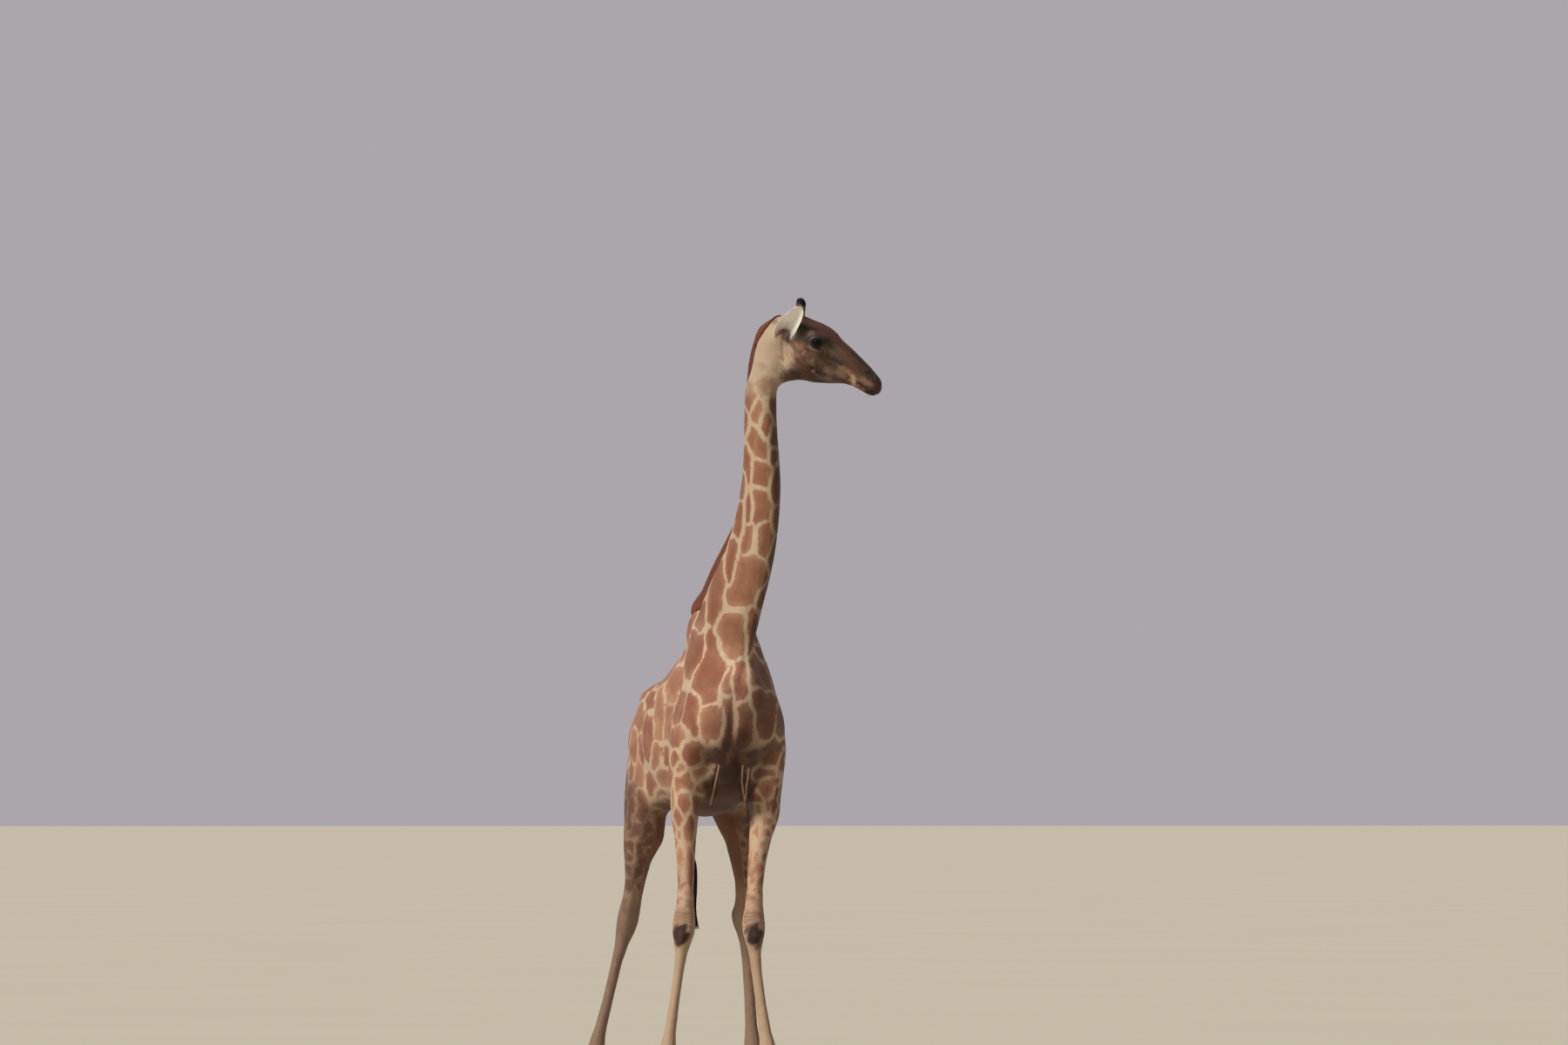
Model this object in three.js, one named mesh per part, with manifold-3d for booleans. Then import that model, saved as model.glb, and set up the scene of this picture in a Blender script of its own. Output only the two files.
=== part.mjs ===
// A life-size standing giraffe cow, 4.4 m tall, as a still museum model.
// Millimetres, +Z up. The animal faces -Y and its left side is +X; its head is turned to its left.
// The flesh is one smooth field of blended muscles and bones, parted into named solids with thin cuts.
import * as THREE from "three";
import { mergeVertices } from "three/addons/utils/BufferGeometryUtils.js";
import Module from "manifold-3d";

const wasm = await Module();
wasm.setup();

// ---------- driving dimensions ----------
const GAP = 0.4; // air between two neighbouring solids
const CORONET_HEIGHT = 92; // where the hair ends and the hooves begin
const HEAD_TURN = 75; // degrees to the animal's left of straight ahead
const HEAD_PITCH = 26.6; // degrees that the muzzle points below the horizon
const HEAD_ORIGIN = [79, -826, 4156]; // the back of the skull, where it sits on the neck
const EYE_RADIUS = 27;
const TRUNK_CELL = 86; // edge of the trunk's facets
const HEAD_CELL = 28; // edge of the head's facets
const LEG_SIDES = 10;
const NECK_SIDES = 16;
const TOE_OUT = 13; // degrees that each foot points away from straight ahead

const at = (x, y, z) => new THREE.Vector3(x, y, z);
const radians = THREE.MathUtils.degToRad;
const mix = THREE.MathUtils.lerp;
const SIDES = { left: 1, right: -1 };

// ---------- the head's own frame: forward, left, up ----------
const headForward = at(
  Math.sin(radians(HEAD_TURN)) * Math.cos(radians(HEAD_PITCH)),
  -Math.cos(radians(HEAD_TURN)) * Math.cos(radians(HEAD_PITCH)),
  -Math.sin(radians(HEAD_PITCH)),
);
const headLeft = at(Math.cos(radians(HEAD_TURN)), Math.sin(radians(HEAD_TURN)), 0);
const headUp = headForward.clone().cross(headLeft);
const headFrame = new THREE.Matrix4()
  .makeBasis(headForward, headLeft, headUp)
  .setPosition(...HEAD_ORIGIN);
const onHead = (forward, left, up) => at(forward, left, up).applyMatrix4(headFrame);
const headWard = (forward, left, up) => at(forward, left, up).transformDirection(headFrame);

// ---------- the field: negative inside the flesh, roughly in millimetres ----------
const FAR = 1e6;

// A swept ellipse. Each station is { p, side, deep, across }: centre, half width along the unit vector
// across, and half depth at right angles to it. A smooth curve runs through the stations.
function tube(stations, blend, { steps = 3 } = {}) {
  const curve = new THREE.CatmullRomCurve3(stations.map((s) => s.p), false, "centripetal");
  const last = stations.length - 1;
  const count = last * steps;
  const smooth = (name, i) => {
    const k = Math.min(Math.floor(i / steps), last - 1);
    const t = i / steps - k;
    const v = [k - 1, k, k + 1, k + 2].map((j) => stations[THREE.MathUtils.clamp(j, 0, last)][name]);
    const slope0 = (v[2] - v[0]) / 2;
    const slope1 = (v[3] - v[1]) / 2;
    const t2 = t * t;
    const t3 = t2 * t;
    const start = (2 * t3 - 3 * t2 + 1) * v[1] + (t3 - 2 * t2 + t) * slope0;
    return start + (3 * t2 - 2 * t3) * v[2] + (t3 - t2) * slope1;
  };
  const rings = [];
  for (let i = 0; i <= count; i++) {
    const k = Math.min(Math.floor(i / steps), last - 1);
    const across = stations[k].across.clone().lerp(stations[k + 1].across, i / steps - k).normalize();
    rings.push({ p: curve.getPoint(i / count), side: smooth("side", i), deep: smooth("deep", i), across });
  }
  return swept(rings, blend);
}

// The field of one swept ellipse, as the nearest of its short straight pieces.
function swept(rings, blend) {
  const pieces = [];
  const ball = new THREE.Sphere();
  ball.setFromPoints(rings.map((r) => r.p));
  const widest = Math.max(...rings.map((r) => Math.max(r.side, r.deep)));
  for (let i = 0; i + 1 < rings.length; i++) {
    const a = rings[i];
    const b = rings[i + 1];
    const axis = b.p.clone().sub(a.p);
    const length = axis.length();
    axis.divideScalar(length);
    const across = a.across.clone().add(b.across);
    across.addScaledVector(axis, -across.dot(axis)).normalize();
    pieces.push({ a, b, axis, length, across, depth: axis.clone().cross(across) });
  }
  const distance = (q) => {
    let nearest = FAR;
    for (const { a, b, axis, length, across, depth } of pieces) {
      const x = q.x - a.p.x;
      const y = q.y - a.p.y;
      const z = q.z - a.p.z;
      const along = x * axis.x + y * axis.y + z * axis.z;
      const t = Math.min(Math.max(along / length, 0), 1);
      const side = mix(a.side, b.side, t);
      const deep = mix(a.deep, b.deep, t);
      const u = x * across.x + y * across.y + z * across.z;
      const v = x * depth.x + y * depth.y + z * depth.z;
      const beyond = along - t * length;
      const end = Math.min(side, deep);
      const k0 = Math.hypot(u / side, v / deep, beyond / end);
      const k1 = Math.hypot(u / side ** 2, v / deep ** 2, beyond / end ** 2);
      nearest = Math.min(nearest, k1 > 0 ? (k0 * (k0 - 1)) / k1 : -end);
    }
    return nearest;
  };
  return { distance, centre: ball.center, reach: ball.radius + widest + blend * 2, blend };
}

// An ellipsoid with its half sizes along the three given unit vectors, or along X, Y and Z.
function bulge(centre, sizes, blend, axes = [at(1, 0, 0), at(0, 1, 0), at(0, 0, 1)]) {
  const d = at(0, 0, 0);
  const distance = (q) => {
    d.subVectors(q, centre);
    const s = axes.map((axis) => d.dot(axis));
    const k0 = Math.hypot(s[0] / sizes[0], s[1] / sizes[1], s[2] / sizes[2]);
    const k1 = Math.hypot(s[0] / sizes[0] ** 2, s[1] / sizes[1] ** 2, s[2] / sizes[2] ** 2);
    return k1 > 0 ? (k0 * (k0 - 1)) / k1 : -Math.min(...sizes);
  };
  return { distance, centre, reach: Math.max(...sizes) + blend * 2, blend };
}

// Blends all the elements, in order, into one field.
function blended(elements) {
  return (q) => {
    let d = FAR;
    for (const e of elements) {
      const rough = q.distanceTo(e.centre) - e.reach;
      if (rough > 0 && d < FAR) continue;
      const own = rough > 0 ? rough + e.blend : e.distance(q);
      const h = Math.max(e.blend - Math.abs(d - own), 0) / e.blend;
      d = Math.min(d, own) - (h * h * e.blend) / 4;
    }
    return d;
  };
}

// ---------- anatomy ----------
const ACROSS = at(1, 0, 0);
const station = (x, y, z, side, deep, across = ACROSS) => ({ p: at(x, y, z), side, deep, across });

function trunkFlesh() {
  const torso = tube(
    [
      // along Y: x, y, z of the centre, half width, half height
      station(0, -300, 2105, 120, 175),
      station(0, -190, 2080, 175, 290),
      station(0, -40, 2085, 214, 420),
      station(0, 150, 2070, 256, 470),
      station(0, 400, 2010, 306, 478),
      station(0, 650, 1958, 342, 448),
      station(0, 900, 1950, 330, 398),
      station(0, 1110, 1975, 272, 322),
      station(0, 1280, 1990, 200, 232),
    ],
    60,
  );
  const elements = [torso];
  elements.push(
    tube(
      [
        station(0, -120, 2640, 66, 60),
        station(0, 60, 2640, 78, 72),
        station(0, 200, 2588, 90, 76),
        station(0, 420, 2470, 124, 78),
        station(0, 700, 2362, 120, 66),
        station(0, 980, 2272, 112, 62),
        station(0, 1180, 2226, 98, 62),
        station(0, 1370, 2120, 62, 60),
      ],
      110,
    ),
  );
  elements.push(bulge(at(0, -330, 2190), [128, 110, 170], 90)); // breast
  elements.push(bulge(at(0, 20, 1762), [120, 230, 126], 90)); // brisket between the forelegs
  for (const s of Object.values(SIDES)) {
    // shoulder blade
    elements.push(
      tube(
        [
          station(s * 112, 235, 2590, 78, 130),
          station(s * 132, 70, 2390, 74, 150),
          station(s * 168, -80, 2180, 80, 136),
          station(s * 190, -150, 2040, 80, 112),
        ],
        90,
      ),
    );
    // upper arm, from the point of the shoulder back to the elbow
    elements.push(
      tube(
        [
          station(s * 190, -150, 2040, 80, 110),
          station(s * 236, -20, 1890, 92, 128),
          station(s * 236, 70, 1720, 88, 116),
        ],
        80,
      ),
    );
    elements.push(bulge(at(s * 204, 110, 1940), [88, 150, 220], 90)); // triceps
    elements.push(bulge(at(s * 108, -250, 2030), [98, 96, 170], 80)); // breast muscle
    elements.push(bulge(at(s * 262, 960, 2196), [34, 74, 46], 110)); // point of the hip
    // haunch and thigh
    elements.push(
      tube(
        [
          station(s * 128, 1170, 2130, 130, 170),
          station(s * 186, 1160, 1950, 138, 222),
          station(s * 216, 1110, 1760, 124, 220),
          station(s * 250, 1050, 1580, 104, 170),
        ],
        100,
      ),
    );
    elements.push(bulge(at(s * 118, 1372, 1960), [82, 92, 150], 90)); // buttock
    elements.push(bulge(at(s * 232, 880, 1700), [62, 120, 110], 90)); // flank fold
  }
  return elements;
}

// Forelegs: the column's centre at each height, and its half width and half depth there.
const FORELEG_COLUMN = [
  // height, distance out from the middle of the [left, right] leg, back, half width, half depth
  { z: 1720, x: [222, 226], y: 62, side: 84, deep: 120 },
  { z: 1590, x: [210, 233], y: 40, side: 82, deep: 112 },
  { z: 1450, x: [190, 240], y: 18, side: 68, deep: 90 },
  { z: 1300, x: [165, 241], y: 4, side: 55, deep: 72 },
  { z: 1130, x: [146, 242], y: -6, side: 47, deep: 59 },
  { z: 1010, x: [138, 247], y: -12, side: 55, deep: 60 },
  { z: 945, x: [134, 252], y: -18, side: 67, deep: 68 },
  { z: 885, x: [134, 256], y: -20, side: 66, deep: 74 },
  { z: 820, x: [138, 261], y: -14, side: 50, deep: 60 },
  { z: 745, x: [144, 268], y: -4, side: 33, deep: 46 },
  { z: 600, x: [160, 286], y: 0, side: 28, deep: 40 },
  { z: 420, x: [184, 312], y: 0, side: 29, deep: 40 },
  { z: 290, x: [203, 331], y: -2, side: 36, deep: 46 },
  { z: 228, x: [212, 340], y: -8, side: 49, deep: 58 },
  { z: 165, x: [220, 348], y: -26, side: 50, deep: 56 },
  { z: 88, x: [230, 358], y: -52, side: 66, deep: 78 },
];
const FORE_SHIFT = [-60, 25]; // how far back the [left, right] forefoot stands

// Hind legs, on the same plan.
const HIND_COLUMN = [
  { z: 1700, x: [226, 230], y: 1095, side: 118, deep: 205 },
  { z: 1540, x: [262, 256], y: 1050, side: 108, deep: 172 },
  { z: 1400, x: [304, 270], y: 1050, side: 92, deep: 138 },
  { z: 1240, x: [338, 280], y: 1105, side: 70, deep: 104 },
  { z: 1090, x: [360, 284], y: 1180, side: 55, deep: 76 },
  { z: 990, x: [373, 290], y: 1240, side: 62, deep: 76 },
  { z: 920, x: [380, 298], y: 1272, side: 64, deep: 78 },
  { z: 850, x: [386, 311], y: 1286, side: 54, deep: 64 },
  { z: 770, x: [393, 334], y: 1288, side: 36, deep: 48 },
  { z: 600, x: [401, 374], y: 1280, side: 31, deep: 41 },
  { z: 420, x: [409, 418], y: 1270, side: 31, deep: 41 },
  { z: 290, x: [414, 452], y: 1262, side: 36, deep: 45 },
  { z: 228, x: [416, 468], y: 1256, side: 47, deep: 57 },
  { z: 165, x: [419, 482], y: 1236, side: 48, deep: 54 },
  { z: 88, x: [423, 498], y: 1208, side: 62, deep: 74 },
];
const HIND_SHIFT = [-20, 110];

// The stations of one leg. The foot is moved back by shift, and the leg leans to it from its top.
function legStations(column, name, shift) {
  const which = name === "left" ? 0 : 1;
  const top = column[0].z;
  return column.map(({ z, x, y, side, deep }) => {
    const turn = radians(TOE_OUT) * (1 - THREE.MathUtils.smoothstep(z, 300, 1100)) * SIDES[name];
    const across = at(Math.cos(turn), Math.sin(turn), 0);
    return station(SIDES[name] * x[which], y + shift[which] * (1 - z / top), z, side, deep, across);
  });
}
const LEGS = {
  foreleg_left: legStations(FORELEG_COLUMN, "left", FORE_SHIFT),
  foreleg_right: legStations(FORELEG_COLUMN, "right", FORE_SHIFT),
  hindleg_left: legStations(HIND_COLUMN, "left", HIND_SHIFT),
  hindleg_right: legStations(HIND_COLUMN, "right", HIND_SHIFT),
};
const isFore = (name) => name.startsWith("fore");

// A point on a leg's centre line at a height, moved by an offset.
function onLeg(name, z, dx = 0, dy = 0) {
  const stations = LEGS[name];
  const i = Math.max(stations.findIndex((s) => s.p.z <= z), 1);
  const [high, low] = [stations[i - 1].p, stations[i].p];
  const p = high.clone().lerp(low, (high.z - z) / (high.z - low.z));
  return p.add(at(dx, dy, 0));
}

// A round tendon that follows a leg at the given heights, moved off its centre line.
function cord(name, heights, offset, radius, blend) {
  const round = { side: radius, deep: radius, across: ACROSS };
  const line = heights.map((z) => ({ p: onLeg(name, z, ...offset), ...round }));
  return tube(line, blend);
}

function legFlesh(name) {
  const out = name.endsWith("left") ? 1 : -1;
  const elements = [tube(LEGS[name], 55, { steps: 2 })];
  if (isFore(name)) {
    elements.push(bulge(onLeg(name, 1560, out * 26, -38), [62, 66, 150], 45)); // forearm muscle
    elements.push(bulge(onLeg(name, 1665, 0, 112), [40, 52, 62], 45)); // point of the elbow
    elements.push(bulge(onLeg(name, 905, 0, -44), [46, 38, 58], 22)); // front of the knee
    elements.push(bulge(onLeg(name, 862, 0, 54), [22, 26, 44], 26)); // back of the knee
  } else {
    elements.push(bulge(onLeg(name, 1470, out * 8, -118), [66, 52, 92], 50)); // stifle
    elements.push(bulge(onLeg(name, 1380, out * 18, 40), [66, 92, 170], 50)); // gaskin muscle
    elements.push(bulge(onLeg(name, 960, -out * 36, 70), [40, 38, 66], 30)); // point of the hock
    elements.push(cord(name, [1240, 1120, 1000], [-out * 24, 82], 20, 40)); // tendon down to the hock
  }
  if (name === "hindleg_right")
    elements.push(bulge(onLeg(name, 1450, 46, -30), [82, 105, 150], 50)); // thigh that bears the weight
  elements.push(cord(name, [740, 520, 300], [0, 40], 16, 22)); // tendons behind the cannon bone
  elements.push(bulge(onLeg(name, 205, 0, 46), [30, 22, 34], 22)); // back of the fetlock
  for (const toe of [1, -1])
    elements.push(bulge(onLeg(name, 112, toe * 34, -4), [34, 66, 40], 14)); // coronet of each toe
  return elements;
}

// Neck: centre line, half width, half depth, and how far it has turned to the left.
const NECK = [
  { p: [-40, -40, 2420], side: 122, deep: 252, turn: 16 },
  { p: [-38, -130, 2560], side: 122, deep: 242, turn: 24 },
  { p: [-18, -240, 2720], side: 116, deep: 212, turn: 26 },
  { p: [24, -370, 2905], side: 108, deep: 180, turn: 24 },
  { p: [50, -495, 3100], side: 98, deep: 156, turn: 20 },
  { p: [50, -620, 3350], side: 87, deep: 132, turn: 17 },
  { p: [20, -708, 3600], side: 66, deep: 94, turn: 18 },
  { p: [8, -766, 3820], side: 63, deep: 77, turn: 24 },
  { p: [30, -796, 3970], side: 68, deep: 84, turn: 38 },
  { p: [68, -812, 4080], side: 72, deep: 96, turn: 64 },
].map(({ p, side, deep, turn }) => ({
  ...station(...p, side, deep, at(Math.cos(radians(turn)), Math.sin(radians(turn)), 0)),
  turn,
}));

const neckCurve = new THREE.CatmullRomCurve3(NECK.map((s) => s.p), false, "centripetal");

// The neck's frame at a fraction of its length: centre, tangent, left, and dorsal direction.
function neckAt(t) {
  const p = neckCurve.getPoint(t);
  const tangent = neckCurve.getTangent(t);
  const k = Math.min(Math.floor(t * (NECK.length - 1)), NECK.length - 2);
  const f = t * (NECK.length - 1) - k;
  const left = NECK[k].across.clone().lerp(NECK[k + 1].across, f);
  left.addScaledVector(tangent, -left.dot(tangent)).normalize();
  const dorsal = left.clone().cross(tangent).negate();
  return { p, tangent, left, dorsal, deep: mix(NECK[k].deep, NECK[k + 1].deep, f) };
}

function neckFlesh() {
  const elements = [tube(NECK, 90)];
  const windpipe = [0.2, 0.4, 0.6, 0.8, 0.95].map((t) => {
    const n = neckAt(t);
    const p = n.p.clone().addScaledVector(n.dorsal, -n.deep * mix(0.74, 0.62, t));
    return { p, side: mix(46, 34, t), deep: mix(44, 34, t), across: n.left };
  });
  elements.push(tube(windpipe, 60));
  for (const s of [1, -1]) {
    const muscle = [0.08, 0.3, 0.55, 0.8].map((t) => {
      const n = neckAt(t);
      const p = n.p.clone();
      p.addScaledVector(n.dorsal, n.deep * 0.12);
      p.addScaledVector(n.left, s * mix(52, 24, t));
      return { p, side: mix(66, 42, t), deep: mix(120, 50, t), across: n.left };
    });
    elements.push(tube(muscle, 60));
  }
  return elements;
}

function headFlesh() {
  // along the head: forward, up, half width, half height
  const rings = (rows) =>
    rows.map(([forward, up, side, deep]) => ({ p: onHead(forward, 0, up), side, deep, across: headLeft }));
  const axes = [headForward, headLeft, headUp];
  const lump = (forward, left, up, sizes, blend) => bulge(onHead(forward, left, up), sizes, blend, axes);
  const elements = [
    tube(
      rings([
        [10, -20, 70, 84],
        [70, 18, 80, 112],
        [150, 38, 84, 118],
        [235, 40, 80, 112],
        [310, 44, 66, 92],
        [390, 40, 54, 76],
        [470, 24, 47, 66],
        [550, 6, 46, 57],
        [600, -4, 48, 47],
        [626, -19, 42, 31],
      ]),
      40,
    ), // skull and muzzle
    tube(
      rings([
        [150, -88, 50, 74],
        [225, -96, 50, 66],
        [300, -86, 42, 62],
        [380, -64, 35, 50],
        [460, -42, 31, 34],
        [545, -40, 34, 27],
        [604, -44, 33, 18],
      ]),
      34,
    ), // lower jaw
    lump(112, 0, 92, [104, 74, 64], 40), // brain case
    lump(-6, 0, 62, [42, 40, 42], 34), // crest at the back of the skull
    lump(236, 0, 122, [78, 42, 46], 40), // bump on the forehead
    lump(152, 0, -146, [64, 46, 70], 40), // throat
  ];
  elements.push(
    tube(
      rings([
        [290, 118, 30, 26],
        [380, 98, 26, 20],
        [470, 72, 24, 18],
        [560, 42, 24, 16],
      ]),
      34,
    ), // bridge of the nose
  );
  for (const s of [1, -1]) {
    elements.push(lump(205, s * 52, -58, [92, 36, 84], 34)); // chewing muscle
    elements.push(lump(230, s * 80, 88, [54, 26, 26], 26)); // brow
    elements.push(lump(230, s * 78, 30, [60, 24, 22], 26)); // cheekbone under the eye
    // ridge from the cheekbone to the muzzle
    const ridge = [[270, 70, 18], [340, 54, 4], [420, 42, -10]].map(([f, l, u]) => onHead(f, s * l, u));
    elements.push(tube(ridge.map((p) => ({ p, side: 17, deep: 17, across: headLeft })), 26));
    elements.push(lump(40, s * 66, 4, [40, 28, 38], 30)); // root of the ear
    elements.push(lump(94, s * 46, 116, [34, 28, 36], 30)); // root of the ossicone
    elements.push(lump(604, s * 27, 22, [40, 20, 22], 18)); // side of the nostril
    elements.push(lump(610, s * 22, -28, [36, 24, 20], 18)); // upper lip
  }
  elements.push(lump(630, 0, -26, [34, 34, 24], 18)); // tip of the upper lip
  elements.push(lump(600, 0, -54, [38, 30, 17], 14)); // lower lip and chin
  return elements;
}

const flesh = blended([
  ...trunkFlesh(),
  ...Object.keys(LEGS).flatMap(legFlesh),
  ...neckFlesh(),
  ...headFlesh(),
]);

// ---------- meshing ----------
const STEP = 2; // half width of the numerical gradient

function gradient(q, out) {
  const p = q.clone();
  const slope = (key) => {
    p[key] = q[key] + STEP;
    const high = flesh(p);
    p[key] = q[key] - STEP;
    const low = flesh(p);
    p[key] = q[key];
    return (high - low) / (2 * STEP);
  };
  return out.set(slope("x"), slope("y"), slope("z"));
}

// Moves a point onto the skin.
function settle(q) {
  const g = at(0, 0, 0);
  for (let i = 0; i < 4; i++) {
    gradient(q, g);
    q.addScaledVector(g, -flesh(q) / Math.max(g.lengthSq(), 0.05));
  }
  return q;
}

// The point where a ray from inside the flesh leaves it.
function leave(origin, direction, most = 900) {
  const q = at(0, 0, 0);
  let t = 0;
  let f = flesh(q.copy(origin));
  while (f < 0 && t < most) {
    t += Math.max(-f * 0.8, 3);
    f = flesh(q.copy(origin).addScaledVector(direction, t));
  }
  let [low, high] = [Math.max(t - 120, 0), t];
  for (let i = 0; i < 18; i++) {
    const middle = (low + high) / 2;
    if (flesh(q.copy(origin).addScaledVector(direction, middle)) < 0) low = middle;
    else high = middle;
  }
  return origin.clone().addScaledVector(direction, high);
}

// A closed geometry over rings of equally many points, with both ends closed by a fan.
function loft(rings) {
  const count = rings[0].length;
  const positions = rings.flat().flatMap((p) => p.toArray());
  const index = [];
  for (let i = 0; i + 1 < rings.length; i++)
    for (let j = 0; j < count; j++) {
      const a = i * count + j;
      const b = i * count + ((j + 1) % count);
      index.push(a, b, a + count, b, b + count, a + count);
    }
  for (const [ring, turn] of [[0, false], [rings.length - 1, true]]) {
    const centre = rings[ring].reduce((sum, p) => sum.add(p), at(0, 0, 0)).divideScalar(count);
    const c = positions.length / 3;
    positions.push(...centre.toArray());
    for (let j = 0; j < count; j++) {
      const [a, b] = [ring * count + j, ring * count + ((j + 1) % count)];
      index.push(...(turn ? [a, b, c] : [b, a, c]));
    }
  }
  return new THREE.BufferGeometry()
    .setAttribute("position", new THREE.Float32BufferAttribute(positions, 3))
    .setIndex(index);
}

// A ring of points on the skin round a centre, in the plane at right angles to along.
function skinRing(centre, along, across, count) {
  const side = across.clone().addScaledVector(along, -across.dot(along)).normalize();
  const depth = along.clone().cross(side);
  return Array.from({ length: count }, (_, j) => {
    const angle = (j / count) * 2 * Math.PI;
    const ray = side.clone().multiplyScalar(Math.cos(angle)).addScaledVector(depth, Math.sin(angle));
    return leave(centre, ray);
  });
}

// The skin inside a box as facets of about one cell, closed where the box cuts it.
function net(low, high, cell) {
  const size = high.clone().sub(low);
  const n = size.clone().divideScalar(cell).ceil();
  const index = (i, j, k) => (i * (n.y + 1) + j) * (n.z + 1) + k;
  const values = new Float32Array((n.x + 1) * (n.y + 1) * (n.z + 1));
  const q = at(0, 0, 0);
  for (let i = 0; i <= n.x; i++)
    for (let j = 0; j <= n.y; j++)
      for (let k = 0; k <= n.z; k++) {
        const rim = i === 0 || j === 0 || k === 0 || i === n.x || j === n.y || k === n.z;
        const f = flesh(q.set(i, j, k).multiplyScalar(cell).add(low));
        values[index(i, j, k)] = rim ? Math.max(f, cell / 4) : f;
      }
  const steps = [index(1, 0, 0), index(0, 1, 0), index(0, 0, 1)];
  partSheets(values, steps);
  const vertexOf = new Map();
  const points = [];
  for (let i = 0; i < n.x; i++)
    for (let j = 0; j < n.y; j++)
      for (let k = 0; k < n.z; k++) {
        const corner = index(i, j, k);
        const sum = at(0, 0, 0);
        let crossings = 0;
        for (let axis = 0; axis < 3; axis++)
          for (let side = 0; side < 4; side++) {
            const [b, c] = [(axis + 1) % 3, (axis + 2) % 3];
            const [ub, uc] = [side & 1, side >> 1];
            const start = corner + ub * steps[b] + uc * steps[c];
            const [f0, f1] = [values[start], values[start + steps[axis]]];
            if (f0 < 0 === f1 < 0) continue;
            const offset = [0, 0, 0];
            offset[axis] = f0 / (f0 - f1);
            offset[b] = ub;
            offset[c] = uc;
            sum.add(at(...offset));
            crossings++;
          }
        if (!crossings) continue;
        vertexOf.set(corner, points.length);
        const p = sum.divideScalar(crossings).add(at(i, j, k)).multiplyScalar(cell).add(low);
        const rim = [i, j, k].some((v, a) => v === 0 || v === n.getComponent(a) - 1);
        points.push({ p, rim });
      }
  const faces = [];
  for (const axis of [0, 1, 2]) {
    const [b, c] = [(axis + 1) % 3, (axis + 2) % 3];
    for (let i = axis === 0 ? 0 : 1; i < n.x; i++)
      for (let j = axis === 1 ? 0 : 1; j < n.y; j++)
        for (let k = axis === 2 ? 0 : 1; k < n.z; k++) {
          const corner = index(i, j, k);
          const [f0, f1] = [values[corner], values[corner + steps[axis]]];
          if (f0 < 0 === f1 < 0) continue;
          const around = [corner, corner - steps[b], corner - steps[b] - steps[c], corner - steps[c]];
          const quad = around.map((v) => vertexOf.get(v));
          faces.push(f0 < 0 ? quad.reverse() : quad);
        }
  }
  relax(points, faces);
  const diagonals = new Set(); // each is used once, so that no edge has more than two facets
  const triangles = faces.flatMap(([a, b, c, d]) => {
    const shorter = points[a].p.distanceTo(points[c].p) < points[b].p.distanceTo(points[d].p);
    const key = (u, v) => `${Math.min(u, v)} ${Math.max(u, v)}`;
    const first = shorter ? !diagonals.has(key(a, c)) : diagonals.has(key(b, d));
    diagonals.add(first ? key(a, c) : key(b, d));
    return first ? [a, c, b, a, d, c] : [a, d, b, b, d, c];
  });
  const positions = points.flatMap(({ p }) => p.toArray());
  return new THREE.BufferGeometry()
    .setAttribute("position", new THREE.Float32BufferAttribute(positions, 3))
    .setIndex(triangles);
}

// Where the corners of a grid square alternate between inside and outside, two sheets of skin would
// share an edge: the corner nearest the skin changes sides.
function partSheets(values, steps) {
  const most = values.length - Math.max(...steps) * 2;
  for (const [b, c] of [[0, 1], [1, 2], [2, 0]])
    for (let i = 0; i < most; i++) {
      const corners = [i, i + steps[b], i + steps[b] + steps[c], i + steps[c]];
      const inside = corners.map((v) => values[v] < 0);
      if (inside[0] !== inside[2] || inside[1] !== inside[3] || inside[0] === inside[1]) continue;
      const nearest = corners.reduce((u, v) => (Math.abs(values[v]) < Math.abs(values[u]) ? v : u));
      values[nearest] = values[nearest] < 0 ? 0.01 : -0.01;
    }
}

// Evens out the facets: each point moves towards its neighbours and back onto the skin.
function relax(points, faces) {
  for (const { p, rim } of points) if (!rim) settle(p);
  for (let round = 0; round < 3; round++) {
    const sums = points.map(() => ({ p: at(0, 0, 0), n: 0 }));
    for (const quad of faces)
      quad.forEach((v, i) => {
        sums[v].p.add(points[quad[(i + 1) % 4]].p);
        sums[v].n++;
      });
    points.forEach(({ p, rim }, v) => {
      if (!rim) settle(p.lerp(sums[v].p.divideScalar(sums[v].n), 0.5));
    });
  }
}

// ---------- solids ----------
function solid(geometry) {
  const bare = geometry.clone();
  bare.deleteAttribute("normal");
  bare.deleteAttribute("uv");
  const merged = mergeVertices(bare, 1e-4);
  return new wasm.Manifold(
    new wasm.Mesh({
      numProp: 3,
      vertProperties: merged.attributes.position.array,
      triVerts: new Uint32Array(merged.index.array),
    }),
  );
}

function geometryOf(body) {
  const { numProp, numVert, vertProperties, triVerts } = body.getMesh();
  const positions = new Float32Array(numVert * 3);
  for (let i = 0; i < numVert; i++)
    positions.set(vertProperties.subarray(i * numProp, i * numProp + 3), i * 3);
  const geometry = new THREE.BufferGeometry()
    .setAttribute("position", new THREE.BufferAttribute(positions, 3))
    .setIndex(new THREE.BufferAttribute(triVerts, 1));
  geometry.computeVertexNormals();
  return geometry;
}

// The same solid, grown by a small amount along its normals.
function grown(body, amount) {
  const geometry = geometryOf(body);
  const { position, normal } = geometry.attributes;
  for (let i = 0; i < position.array.length; i++) position.array[i] += normal.array[i] * amount;
  return solid(geometry);
}

// A box as large as a room, standing on the plane through point with this outward normal.
function halfSpace(point, normal) {
  const size = 4000;
  const turn = new THREE.Quaternion().setFromUnitVectors(at(0, 0, 1), normal);
  const box = new THREE.BoxGeometry(size, size, size).translate(0, 0, size / 2);
  return solid(box.applyQuaternion(turn).translate(...point.toArray()));
}

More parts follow.
